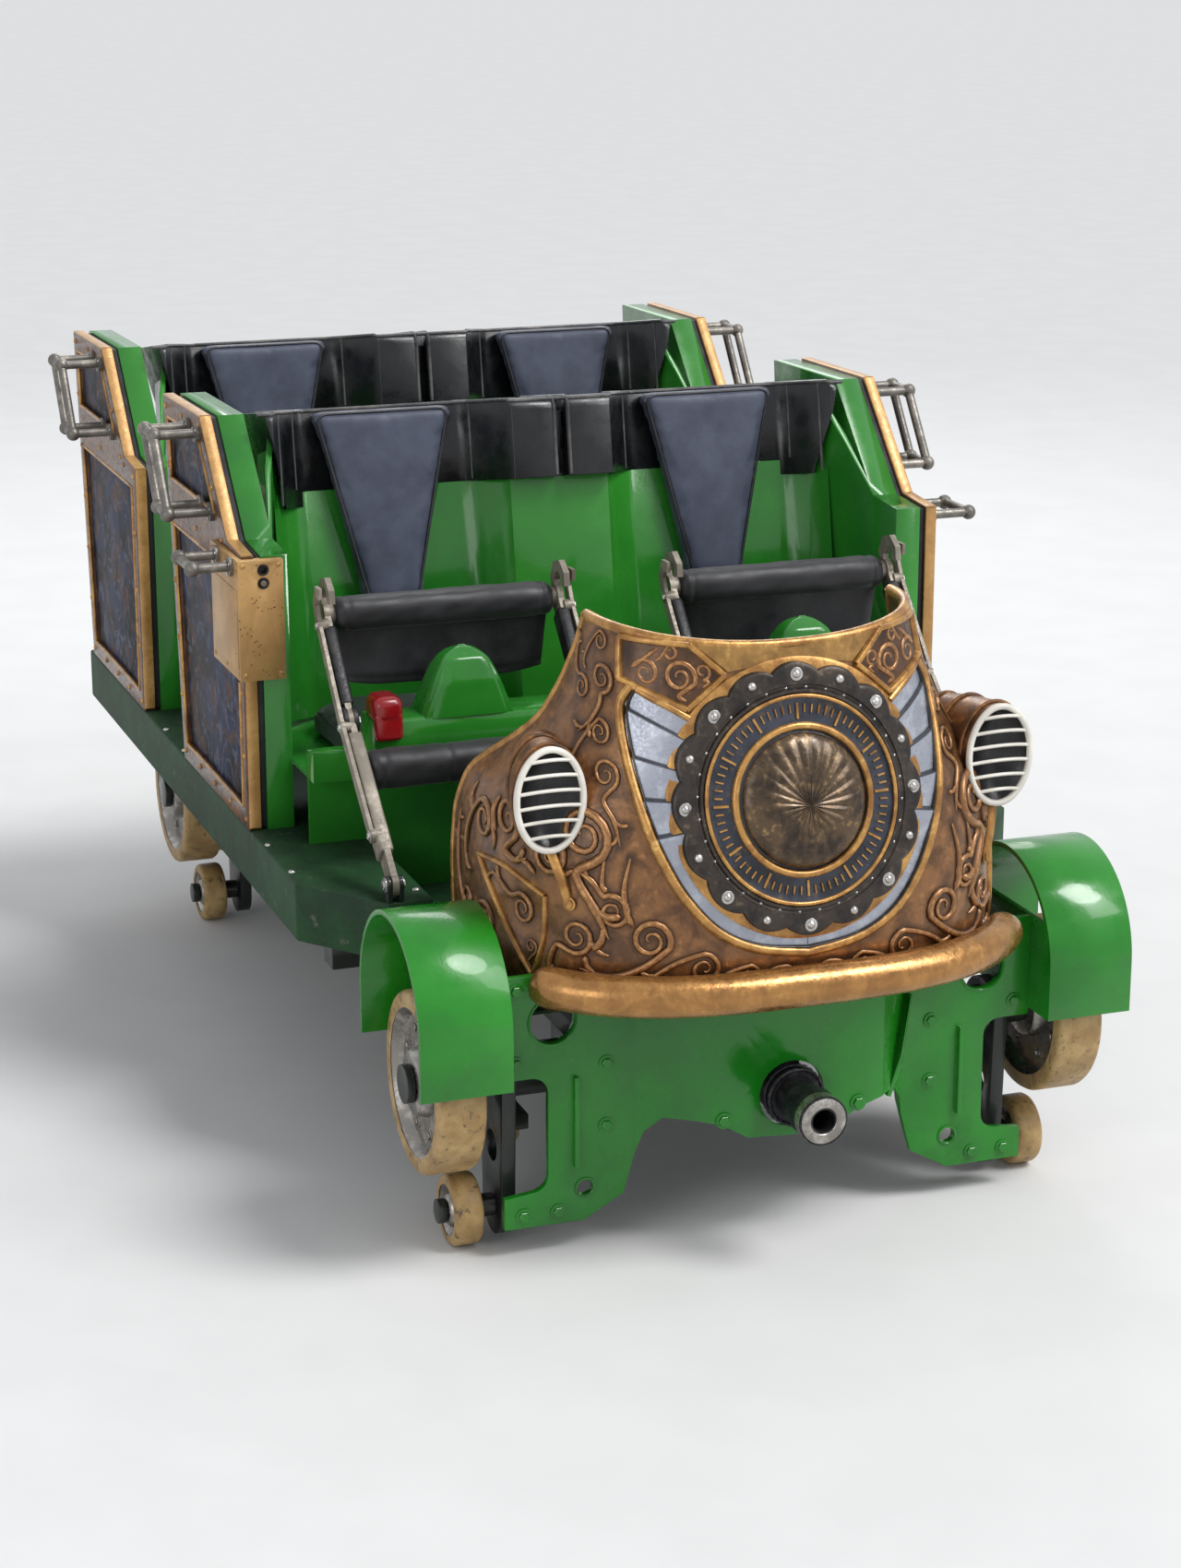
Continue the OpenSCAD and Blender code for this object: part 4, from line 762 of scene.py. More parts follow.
def nose_beads():
    """Rolled bead along the top edge and down the rear edge of each cheek."""
    parts, r = Parts(), 0.0085
    top = [(f * level(z)[0][-1], z) for f in np.linspace(-1, 1, 97) for z in [nose_level(f, 1.0)]]
    parts.put(*tube([skin(u, z) - 0.5 * NOSE_T * skin_out(u, z - 0.004) for u, z in top], r))
    for s in (1, -1):
        rear = [(s * level(z)[0][-1], z) for t in np.linspace(0.03, 1, 60) for z in [nose_level(s, t)]]
        parts.put(*tube([skin(u, z) - s * np.array([0, 0.5 * NOSE_T, 0]) for u, z in rear], r, up=(1, 0, 0)))
    parts.piece("nose_beads", GOLD, "bronze_paint")


def bumper_roll():
    """Smooth roll under the shield with round ends."""
    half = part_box("bumper")[1][1] - 0.006
    r, z, gap, cap = 0.031, 0.443, 0.0003, 0.028
    around = [run_of(y, z) for y in np.linspace(-half, half, 120)]
    path = np.array([skin(u, z) + (r + gap) * unit(skin_out(u, z) * (1, 1, 0)) for u in around])
    run = np.concatenate([[0], np.cumsum(np.linalg.norm(np.diff(path, axis=0), axis=1))])
    end = np.minimum(run, run[-1] - run)
    radius = r * np.sqrt(np.clip(1 - np.clip(1 - end / cap, 0, 0.98) ** 2, 0.03, 1))
    parts = Parts()
    parts.put(*tube(path, radius, 28))
    parts.piece("bumper_roll", BUMPER, "black_rubber", swap=["bumper"])


# ---------------------------------------------------------------- medallion


def medallion():
    """Round porthole: scalloped rim with studs, two gold rings, a dial of ticks and a fluted dome."""
    steps, scallops, R, bowl = 384, 16, 0.198, 0.0955
    a = circle(steps)
    bay = 0.012 * (1 - np.abs(np.cos(a * scallops / 2)) ** 0.8)
    # Columns: radius, height above the skin, depth of the scallops and the kind of surface.
    profile = [(R, -0.006, 1, 0), (R, 0.010, 1, 0), (R - 0.0015, 0.0130, 1, 0), (R - 0.004, 0.0142, 1, 0),
               (R - 0.009, 0.0145, 1, 0), (0.172, 0.0145, 0.2, 0), (0.166, 0.0145, 0, 0), (0.1645, 0.0120, 0, 0),
               (0.160, 0.0105, 0, 0), (0.1585, 0.0135, 0, 0), (0.1545, 0.0140, 0, 0), (0.1525, 0.0120, 0, 1),
               (0.146, 0.0085, 0, 1), (0.134, 0.0075, 0, 1), (0.118, 0.0075, 0, 1), (0.1105, 0.0090, 0, 1),
               (0.102, 0.0100, 0, 1), (bowl, 0.0120, 0, 1)]
    pts = [dial(r - b * cut, t, h) for r, h, cut, kind in profile for t, b in zip(a, bay)]
    kinds = [row[-1] for row in profile]
    for q in np.linspace(0.05, 1, 14) * pi / 2:
        r, h = bowl * cos(q) + 0.002, 0.012 + 0.026 * sin(q) ** 0.9
        flute = 0.0022 * sin(min(1, max(0, r / bowl)) * pi) ** 0.6
        pts += [dial(r, t, h + flute * abs(cos(t * 12)) ** 1.4) for t in a]
        kinds.append(2)
    n = len(pts)
    pts.append(front(0, MEDAL_Z, 0.0385))
    faces = grid_faces(len(kinds), steps, wrap_cols=True) + [(n - steps + i, n - steps + (i + 1) % steps, n)
                                                             for i in range(steps)]
    add("medal_plate", pts, faces, [GUNMETAL, DIAL, DOME], "gunmetal", swap=["medallion"],
        picks=np.repeat(kinds, steps), sharp=30)

    trim = Parts()
    ring = [[dial(r, t, h) for t in a[::2]]
            for r, h in ((0.178, 0.006), (0.199, 0.006), (0.2035, 0.004), (0.204, -0.004))]
    trim.put(ring, grid_faces(4, steps // 2, wrap_cols=True))
    for r, w, h in ((0.1495, 0.0032, 0.0135), (0.1065, 0.0058, 0.0125)):
        trim.put(*tube([dial(r, t, h) for t in a[::3]], w, 10, closed=True, up=(1, 0, 0)))
    for k, t in enumerate(circle(72)):
        r0, r1, w = (0.116, 0.139, 0.0032) if k % 6 == 0 else (0.125, 0.137, 0.0018)
        c, s = cos(t), sin(t)
        q = [front(r * c - e * w / 2 * s, MEDAL_Z + r * s + e * w / 2 * c, h)
             for r, e in ((r0, -1), (r0, 1), (r1, 1), (r1, -1)) for h in (0.006, 0.0105)]
        trim.put(q, [(1, 3, 5, 7), (0, 1, 7, 6), (0, 2, 3, 1), (2, 4, 5, 3), (4, 6, 7, 5)])
    trim.piece("medal_trim", GOLD, "gold_trim")

    studs = Parts()
    for k, t in enumerate(circle(scallops)):
        bolt(studs, dial(0.181, t, 0.0142), (1, 0, 0.1), 0.0068, 0.0062, hexagon=False, washer=k % 2 == 0)
    for t in circle(32) + pi / 32:
        rivet(studs, dial(0.1615, t, 0.0104), (1, 0, 0.1), 0.0024, 0.002)
    studs.piece("medal_studs", STUD, "gunmetal")


# ---------------------------------------------------------------- lamps


def lamps():
    """Oval lamps with a white rim, arched bars over a dark dish, collars and a stay."""
    y0, z0, x0 = 0.361, 0.723, ORIGIN_X + 0.020
    wide, tall, steps = 0.055, 0.080, 64
    a = circle(steps)
    # Rings of the pod and the dish, and collars: distance ahead, how much smaller, and shift outward.
    pod_rings = smooth_path([(-0.190, 0.032, -0.044), (-0.158, 0.018, -0.032), (-0.118, 0.0095, -0.021),
                             (-0.070, 0.004, -0.010), (-0.034, 0.0015, -0.003), (-0.006, 0.0012, 0.0)], 5)
    dish_rings = [(-0.006, 0.004, 0), (-0.016, 0.012, 0), (-0.026, 0.026, 0), (-0.032, 0.046, 0)]
    collars = [(-0.086, 0.0040, -0.0130), (-0.022, 0.0, -0.002), (-0.136, 0.012, -0.027)]
    for s, side in SIDES:

        def oval(x, d, shift=0.0):
            return np.stack([np.full(steps, x0 + x), s * (y0 + shift + (wide - d) * np.cos(a)),
                             z0 + (tall - d) * np.sin(a)], 1)

        pod, dish, rim, stay = Parts(), Parts(), Parts(), Parts()
        pod.put([oval(*q) for q in pod_rings], grid_faces(len(pod_rings), steps, wrap_cols=True))
        for q in collars:
            pod.put(*tube(oval(*q), 0.0032, 8, closed=True, up=(1, 0, 0)))
        pod.piece(f"lamp_pod_{side}", BRONZE_PLAIN, "lamp_bronze", swap=["lamps"] if s == 1 else ())

        n = len(dish_rings) * steps
        faces = grid_faces(len(dish_rings), steps, wrap_cols=True)
        dish.put(np.vstack([oval(*q) for q in dish_rings] + [[[x0 - 0.034, s * y0, z0]]]),
                 faces + [(n - steps + i, n - steps + (i + 1) % steps, n) for i in range(steps)])
        dish.piece(f"lamp_dish_{side}", SHELL_BLACK, "lamp_bronze")

        rim.put(*tube(oval(-0.003, 0.004), 0.0052, closed=True, up=(1, 0, 0)))
        k = np.linspace(-1, 1, 15)
        bow = 1 - k ** 2
        for z in 2 * tall * (np.arange(1, 7) / 7 - 0.5):
            w = (wide - 0.005) * sqrt(1 - (z / tall) ** 2)
            path = np.stack([x0 - 0.004 + 0.0105 * bow, s * y0 + w * k, z0 + z + 0.006 * bow], 1)
            rim.put(*tube(path, 0.0034, 10, flat=0.8))
        rim.piece(f"lamp_rim_{side}", WHITE, "lamp_bronze")

        u, z = s * run_of(0.334, 0.566), 0.566
        foot = proud(u, z, 0.003)
        top = np.array([x0 - 0.012, s * (y0 - 0.004), z0 - 0.082])
        line = smooth_path([top, (foot + top) / 2 + (0.004, 0, 0), foot])
        stay.put(*tube(line, 0.0072, up=(1, 0, 0), flat=0.45))
        bolt(stay, foot, skin_out(u, z), 0.007, 0.005)
        stay.piece(f"lamp_stay_{side}", GOLD, "gold_trim")


nose_skin()
nose_carving()
shield_border()
silver_fields()
upper_panels()
nose_beads()
bumper_roll()
medallion()
lamps()


# ---------------------------------------------------------------- soft goods

BACK_LEAN, BACK_X, BACK_Z = radians(9.6), 0.060, 0.775
PIVOT_X, PIVOT_Z, ARM_Y = 0.705, 0.506, 0.200
# Places of the lap bar's tubes and knee, (x, z) from its pivot.
LAP_TUBE, SHIN_TUBE, KNEE = (-0.375, 0.345), (-0.185, 0.133), (-0.240, 0.200)


def on_back(p, row, y):
    """Points of the reclined backrest's own frame, moved to their seat."""
    p = np.asarray(p, float).reshape(-1, 3)
    c, s = cos(BACK_LEAN), sin(BACK_LEAN)
    x = p[:, 0] * c - p[:, 2] * s + BACK_X + ROW_X[row]
    z = p[:, 0] * s + p[:, 2] * c + BACK_Z
    return np.stack([x, p[:, 1] + y, z], 1)


def outline_round(corners, r):
    """Outline with rounded corners, its first point repeated at the end."""
    p = np.asarray(corners, float)
    out = []
    for a, b, c in zip(np.roll(p, 1, 0), p, np.roll(p, -1, 0)):
        u, v = unit(a - b), unit(c - b)
        k = min(r, np.linalg.norm(a - b) * 0.45, np.linalg.norm(c - b) * 0.45)
        for t in np.linspace(0, 1, 6):
            out.append((1 - t) ** 2 * (b + u * k) + 2 * t * (1 - t) * b + t ** 2 * (b + v * k))
    return np.array(out + out[:1])


def shown(o):
    """The object as its modifiers leave it."""
    return o.evaluated_get(bpy.context.evaluated_depsgraph_get())


def vectors(vertices, key):
    """Places or normals of a mesh's vertices."""
    out = np.empty(len(vertices) * 3)
    vertices.foreach_get(key, out)
    return out.reshape(-1, 3)


def inflate(outline, thick, voxel, most):
    """Closed cloth form over an outline, blown up a little and eased, as points, faces and normals."""
    frames, pressure, stiff, bending = 20, 4.0, 25, 2.0
    bm = bmesh.new()
    face = bm.faces.new([bm.verts.new((x, y, 0)) for x, y in outline[:-1]])
    up = bmesh.ops.extrude_face_region(bm, geom=[face])["geom"]
    bmesh.ops.translate(bm, vec=(0, 0, thick), verts=[v for v in up if isinstance(v, bmesh.types.BMVert)])
    bmesh.ops.recalc_face_normals(bm, faces=bm.faces)
    mesh = bpy.data.meshes.new("form")
    bm.to_mesh(mesh)
    bm.free()
    o = linked("form", mesh)
    remesh = o.modifiers.new("remesh", "REMESH")
    remesh.mode = "VOXEL"
    remesh.voxel_size = voxel
    even = bpy.data.meshes.new_from_object(shown(o))
    o.modifiers.clear()
    o.data = even
    start = end = vectors(even.vertices, "co")
    cloth = o.modifiers.new("cloth", "CLOTH").settings
    cloth.quality = 5
    cloth.use_pressure = True
    cloth.uniform_pressure_force = pressure
    cloth.tension_stiffness = cloth.compression_stiffness = stiff
    cloth.bending_stiffness = bending
    cloth.effector_weights.gravity = 0
    for k in range(1, frames + 1):
        bpy.context.scene.frame_set(k)
    end = vectors(shown(o).to_mesh().vertices, "co")
    bpy.context.scene.frame_set(1)
    o.modifiers.clear()
    move = end - start
    move *= np.minimum(1, most / np.maximum(np.linalg.norm(move, axis=1, keepdims=True), 1e-9))
    even.vertices.foreach_set("co", (start + move).ravel())
    smooth = o.modifiers.new("smooth", "SMOOTH")
    smooth.factor = 0.5
    smooth.iterations = 4
    sub = o.modifiers.new("sub", "SUBSURF")
    sub.levels = sub.render_levels = 1
    bpy.context.view_layer.update()
    out = bpy.data.meshes.new_from_object(shown(o))
    bpy.data.objects.remove(o)
    return vectors(out.vertices, "co"), [tuple(p.vertices) for p in out.polygons], vectors(out.vertices, "normal")


def to_path(points, path):
    """Shortest distance from points to a polyline, both in the plane."""
    p = np.asarray(points, float)[:, None]
    a, b = np.asarray(path[:-1], float)[None], np.asarray(path[1:], float)[None]
    d = b - a
    t = np.clip(((p - a) * d).sum(-1) / np.maximum((d * d).sum(-1), 1e-12), 0, 1)
    return np.linalg.norm(p - a - t[..., None] * d, axis=-1).min(1)


def channel(v, n, path, depth, width, upper):
    """Presses a sewn channel into what lies above a height."""
    near = np.exp(-(to_path(v[:, :2], path) / width) ** 2) * (v[:, 2] > upper)
    return v - n * (depth * near)[:, None]


def drape(v, faces, line, lift):
    """Path on top of a form, straight above a line in the plane."""
    tree = BVHTree.FromPolygons([tuple(p) for p in v], faces)
    hits = [tree.ray_cast((x, y, 1.0), (0, 0, -1))[0] for x, y in line]
    return np.array([(hit.x, hit.y, hit.z + lift) for hit in hits])


def soft_copies(name, v, faces, seam, place, material, piping, slot, node):
    """One copy of a form for each seat, with piping along its seam."""
    fill, cord_r = 0.7, 0.0027
    for row, side, s in SEATS:
        o = add(f"{name}_{row}{side}", place(v, row, s * SEAT_Y), faces, material, slot, sharp=180,
                swap=[node] if (row, s) == (1, 1) else ())
        cord = Parts()
        cord.put(*tube(place(seam[:-1], row, s * SEAT_Y), cord_r, 8, closed=True, up=(1, 0, 0)))
        cord.piece(f"{name}_piping_{row}{side}", piping, slot)


def back_pads():
    """Tapering back pads with a sewn channel near their edge."""
    corners = [(-0.055, 0.014), (0.055, 0.014), (0.1325, 0.364), (-0.1325, 0.364)]
    v, faces, n = inflate(outline_round([(x * 0.97, y) for x, y in corners], 0.022), 0.024, 0.0059, 0.008)
    seam = outline_round([(-0.043, 0.027), (0.043, 0.027), (0.1175, 0.351), (-0.1175, 0.351)], 0.02)
    v = channel(v, n, seam, 0.0022, 0.004, 0.012)

    def place(p, row, y):
        return on_back(np.stack([p[:, 2] - 0.031, p[:, 0], p[:, 1]], 1), row, y)

    soft_copies("back_pad", v, faces, drape(v, faces, seam, 0.0008), place, PAD, PIPING, "pad_vinyl", "back_pads")


def cushions():
    """Seat cushions, narrower at their front, with a sewn channel near the edge and two along them."""
    w, middle, base = 0.188, 0.218, 0.6045
    corners = [(0.066, -0.128), (0.118, -w), (0.3695, -w), (0.3695, w), (0.118, w), (0.066, 0.128)]

    def shrunk(along, across):
        return outline_round([((x - middle) * along + middle, y * across) for x, y in corners], 0.03)

    v, faces, n = inflate(shrunk(0.975, 0.975), 0.034, 0.0075, 0.012)
    seam = shrunk(0.87, 0.88)
    for path in (seam, [(0.09, -0.06), (0.35, -0.06)], [(0.09, 0.06), (0.35, 0.06)]):
        v = channel(v, n, path, 0.003, 0.005, 0.02)

    def place(p, row, y):
        return p + (ROW_X[row], y, base)

    soft_copies("seat_cushion", v, faces, drape(v, faces, seam, 0.0006), place, SEAT, SLEEVE, "seat_vinyl",
                "seat_cushions")


def sleeve(length, wide, tall, seams, lumps):
    """Padded sleeve along y with gathered ends and sewn rings, round the tube at its middle."""
    half, hem = length / 2, 0.02
    y = np.concatenate([np.linspace(-half, hem - half, 14)[:-1], np.linspace(hem - half, half - hem, 90),
                        np.linspace(half - hem, half, 14)[1:]])[:, None]
    a = circle(56)
    k = 0.62 + 0.38 * np.sqrt(1 - (1 - np.clip((half - abs(y)) / 0.017, 0, 1)) ** 2)
    for seam in seams:
        k -= 0.055 * np.exp(-((y - seam) / 0.0045) ** 2)
    k += 0.018 * np.sin(y * lumps + 1.3) * np.sin(y * 61 + 0.4)
    k = k / 2 * (1 + 0.010 * np.sin(3 * a + y * 47) + 0.006 * np.sin(7 * a - y * 90))
    c, s = squircle(a, 2.6)
    return np.stack([wide * k * c, y + 0 * a, tall * k * s], 2).reshape(-1, 3), pipe_faces(len(y), len(a))


def flap(width, drop):
    """Short padded flap that hangs behind and below the lap pad."""
    rows, cols = 25, 41
    t, s = np.meshgrid(np.linspace(0, 1, rows), np.linspace(-1, 1, cols), indexing="ij")
    x = 0.003 - 0.004 * np.sin(2.2 * t) + 0.0015 * np.sin(9 * s + 2 * t) * t
    y = s * width / 2 * (1 - 0.05 * t)
    z = -0.016 - t * drop * (1 - 0.10 * s ** 4)
    edge = np.minimum(1, (1 - abs(s)) * 9) * np.minimum(1, (1 - t) * 5)
    seam = np.exp(-((np.minimum(1 - t, 0.4) * drop - 0.010) / 0.003) ** 2)
    thick = 0.0022 + 0.0052 * np.sqrt(edge) - 0.002 * seam
    sheets = [np.stack([x + way * thick, y, z], 2).reshape(-1, 3) for way in (1, -1)]
    return np.vstack(sheets), shell_faces(rows, cols)


def pivot(row, s):
    """Place that a seat's lap bar swings about."""
    return np.array([ROW_X[row] + PIVOT_X, s * SEAT_Y, PIVOT_Z])


def restraint_pads():
    """Padded sleeves on the lap and shin tubes, and the lap pad's flap."""
    forms = [("lap_pad", sleeve(0.372, 0.060, 0.056, (-0.165, 0.165), 34), LAP_TUBE, 0.9),
             ("shin_pad", sleeve(0.374, 0.063, 0.063, (-0.162, -0.055, 0.055, 0.162), 27), SHIN_TUBE, 0.9),
             ("lap_flap", flap(0.360, 0.108), LAP_TUBE, 0.5)]
    for row, side, s in SEATS:
        for name, (v, faces), (x, z), fill in forms:
            o = add(f"{name}_{row}{side}", v + pivot(row, s) + (x, 0, z), faces, SLEEVE, "pad_foam",
                    f"lap_bar_{row}{side}", sharp=60, swap=[f"lap_pads_{row}{side}"] if name == "lap_pad" else ())


back_pads()
cushions()
restraint_pads()


# ---------------------------------------------------------------- restraints


def bar(parts, start, end, low, high, half, r=0.004, kind=0):
    """Straight bar with rounded edges between two (x, z) points, from y low to y high."""
    long = np.linalg.norm(end - start)
    c, s = (end - start) / long
    v, faces = rounded_box((0, low, -half), (long, high, half), r, 3)
    x, y, z = np.array(v).T
    parts.put(np.stack([start[0] + x * c - z * s, y, start[1] + x * s + z * c], 1), faces, kind)


def lap_bar_dress():
    """Taupe shins and black covers round the arms, elbow caps, pivot bolts and strap bolts."""
    covers, bolts, pins = Parts(), Parts(), Parts()
    knee, upper = np.array(KNEE), np.array(LAP_TUBE) - KNEE
    for t in (-1, 1):
        low, high = sorted((t * (ARM_Y - 0.0115), t * (ARM_Y + 0.0115)))
        bar(covers, knee * 0.17, knee * 0.90, low, high, 0.0176, kind=1)
        bar(covers, knee + upper * 0.11, knee + upper * 0.86, low, high, 0.0182, 0.007)
        for way in (-1, 1):
            covers.put(*turned([(0, 0.0045), (0.024, 0.0045), (0.024, 0.0105), (0.021, 0.0125), (0, 0.0125)],
                               (knee[0], t * ARM_Y, knee[1]), (0, way, 0), 32))
        bolt(bolts, (knee[0], t * (ARM_Y - 0.0125), knee[1]), (0, -t, 0), 0.009)
        for x, z in ((-0.062, 0.062), (-0.222, 0.196), (-0.350, 0.334)):
            bolt(bolts, (x, t * (ARM_Y + 0.019), z), (0, t, 0), 0.006, 0.004)
    for row, side, s in SEATS:
        for parts, name, material in ((covers, "arm_covers", [BLACK_BAR, TAUPE]), (bolts, "arm_bolts", STUD)):
            add(f"{name}_{row}{side}", np.vstack(parts.v) + pivot(row, s), parts.f, material, "bar_taupe",
                f"lap_bar_{row}{side}", picks=parts.k)
        for t in (-1, 1):
            for way in (-1, 1):
                bolt(pins, pivot(row, s) + (0, t * ARM_Y + way * 0.013, 0), (0, way, 0), 0.0085, 0.005)
    pins.piece("pivot_bolts", STUD, "bracket_grey")


def pommels():
    """Smooth green bells over the part's posts."""
    lip, top, wide, grow, steps = 0.705, 0.806, 0.0736, 1.03, 40
    z = np.concatenate([np.linspace(lip - 0.004, lip + 0.08, 18),
                        lip + 0.08 + 0.0245 * np.sin(np.linspace(0.08, 1.5, 14))])[:, None]
    share = np.clip((z - 0.002 - (lip - 0.065)) / 0.166, 0.02, 0.9992)
    cap = np.sqrt(np.maximum(0, 1 - np.maximum(0, (z - (top - 0.020)) / 0.0248) ** 2.2))
    w = np.minimum(wide * (-np.log(share)) ** (1 / 3) + 0.003, wide * 1.2) * (0.25 + 0.75 * cap)
    x1 = np.interp(z, [lip, top - 0.05, top - 0.014, top, top + 0.004], [0.477, 0.472, 0.461, 0.445, 0.432])
    x0 = np.interp(z, [0.640, top - 0.038, top - 0.004, top + 0.004], [0.377, 0.396, 0.414, 0.430])
    c, s = squircle(circle(steps), 5.0)
    bell = np.stack([(x0 + x1) / 2 + (x1 - x0) / 2 * c * grow * (0.5 + 0.5 * cap), w * s * grow, z + 0 * c], 2)
    bell = bell.reshape(-1, 3)
    faces = grid_faces(len(z), steps, wrap_cols=True) + [tuple(range(len(bell) - steps, len(bell)))]
    for row, side, s in SEATS:
        add(f"pommel_{row}{side}", bell + (ROW_X[row], s * SEAT_Y, 0), faces, GREEN_SHELL, "green_paint", sharp=60)


def head_trim():
    """Glossy lighter grey tubes along the tops of the head shells, beside the pads and at the joint between the seats;
    their colour is a painted highlight on the shells' edges.
    """
    flat, bolster, length, crest, curl = 0.1365, 0.074, 0.360, 0.052, 0.022
    joint, pad_edges = (-0.013, 0.013), ((-0.158, 0.226), (0.158, 0.226), (0.196, 0.202))

    def face(y):
        """How far ahead the shell's front stands at y."""
        return -0.035 + 0.096 * min(1, max(0, abs(abs(y) - SEAT_Y) - flat) / bolster) ** 1.4

    def over(y, low):
        """Line up the front of the shell at y and back over its top."""
        x = face(y)
        turn = [(0.040 + curl * cos(t), y, length - curl + curl * sin(t)) for t in np.linspace(0, pi / 2, 7)]
        if x < 0.055:
            turn = [(x, y, length - 0.004), (x - 0.004, y, length)]
        rise = [(x, y, z) for z in np.linspace(low, length - 0.024, 12)]
        return np.array(rise + turn + [(k, y, length) for k in np.linspace(turn[-1][0] - 0.01, -0.115, 6)])

    parts = Parts()
    for row in (1, 2):
        line = [(min(face(y), crest), y, length - (0.0015 if face(y) < crest else 0.004))
                for y in np.linspace(-0.535, 0.535, 215)]
        parts.put(*tube(on_back(line, row, 0), 0.0036, 8))
        for y in joint:
            parts.put(*tube(on_back(over(y, 0.226), row, 0), 0.0030, 8, up=(0, 1, 0)))
        for s in (1, -1):
            for y, low in pad_edges:
                parts.put(*tube(on_back(over(s * (SEAT_Y + y), low), row, 0), 0.0026, 8, up=(0, 1, 0)))
    parts.piece("head_edge_highlights", EDGE_HIGHLIGHT, "shell_black")


def latch_covers():
    """Rounded red covers of the latches, one beside each pommel."""
    parts = Parts()
    for row, side, s in SEATS:
        x, y = ROW_X[row] + 0.459, s * (SEAT_Y + 0.140)
        parts.put(*rounded_box((x - 0.030, y - 0.025, 0.7005), (x + 0.036, y + 0.025, 0.746), 0.016, 5))
        parts.put(*rounded_box((x + 0.0175, y - 0.0235, 0.674), (x + 0.0345, y + 0.0235, 0.722), 0.008, 4))
    parts.piece("latch_covers", RED, "latch_red", swap=["latches"], sharp=50)


lap_bar_dress()
pommels()
head_trim()
latch_covers()


# ---------------------------------------------------------------- trim

# Outline of a pod's side panel, (x, z) from its row.
POD = [(0.273, 0.480), (0.273, 0.944), (0.176, 0.951), (0.0, 1.130), (-0.280, 1.125), (-0.210, 0.480)]
SIDE_Y, COUPLER_Z = 0.622, 0.245


def inward(points, d):
    """Anticlockwise outline with straight sides, moved inward."""
    p = np.array(points)
    out = []
    for a, b, c in zip(np.roll(p, 1, 0), p, np.roll(p, -1, 0)):
        u, v = unit(b - a), unit(c - b)
        x, z = d * (u[1] - v[1]), d * (v[0] - u[0])
        out.append(b + d * np.array([-u[1], u[0]]) + u * (x * v[1] - z * v[0]) / (u[0] * v[1] - u[1] * v[0]))
    return out


def clip(points, z, above):
    """Part of an outline above or below a height."""
    out = []
    for a, b in edges(points):
        if (a[1] > z) == above:
            out.append(a)
        if (a[1] > z) != (b[1] > z):
            out.append(a + (b - a) * (z - a[1]) / (b[1] - a[1]))
    return out


def side_trim():
    """Gold front edges, beads round the insets and rivets on the pods' panels."""
    strips, beads, rivets = Parts(), Parts(), Parts()
    inner = inward(POD, 0.034)
    windows = [clip(inner, 0.905, False), clip(inner, 0.985, True)]
    # Section of the edge strip: y, and height above the panel's edge.
    section = ((0.6015, -0.001), (0.6015, 0.0010), (0.6035, 0.0018), (0.6190, 0.0018), (0.6210, 0.0010),
               (0.6212, -0.001))
    n = len(section)
    strip_faces = grid_faces(2, n, wrap_cols=True) + [tuple(range(n)), tuple(range(n, 2 * n))]
    spots = [(-0.19, 0.930), (-0.05, 0.930), (0.14, 0.945)]
    for a, b in edges(inward(POD, 0.017)):
        count = max(1, round(np.linalg.norm(b - a) / 0.11))
        spots += [a + (b - a) * t for t in np.arange(count) / count]
    run = np.array([(0.273, 0.484)] + POD[1:5])
    for row in (1, 2):
        for s in (1, -1):
            box_here = (row, s) == (1, -1)

            def hidden(q):
                """Whether the brass box stands over a place on the panel."""
                return box_here and q[0] > 0.094 and 0.735 < q[1] < 0.945

            legs = list(zip(run, run[1:]))
            if box_here:
                legs[:2] = [(run[0], np.array([0.273, 0.7385])), (run[1] + (run[2] - run[1]) * 0.02, run[2])]
            for p, q in legs:
                c, d = unit(q - p)
                flat = [(y, p + (q - p) * t + np.array([d, -c]) * h) for t in (0.004, 0.996) for y, h in section]
                strips.put([(ROW_X[row] + x, s * y, z) for y, (x, z) in flat], strip_faces)
            for shape in windows:
                line = [a + (b - a) * t for a, b in edges(shape) for t in np.linspace(0, 1, 12)[:-1]]
                shut = np.array([hidden(q) for q in line])
                order = [i for i in np.roll(np.arange(len(line)), -shut.argmax()) if not shut[i]]
                path = [(ROW_X[row] + line[i][0], s * (SIDE_Y - 0.0005), line[i][1]) for i in order]
                beads.put(*tube(path, 0.0032, 8, closed=not shut.any(), up=(0, 1, 0)))
            for x, z in spots:
                if not hidden((x, z)):
                    rivet(rivets, (ROW_X[row] + x, s * SIDE_Y, z), (0, s, 0), 0.0052, 0.0034)
    strips.piece("panel_edges", TAN, "copper_brown", sharp=30)
    beads.piece("window_beads", GOLD, "copper_brown")
    rivets.piece("panel_rivets", GOLD, "copper_brown")


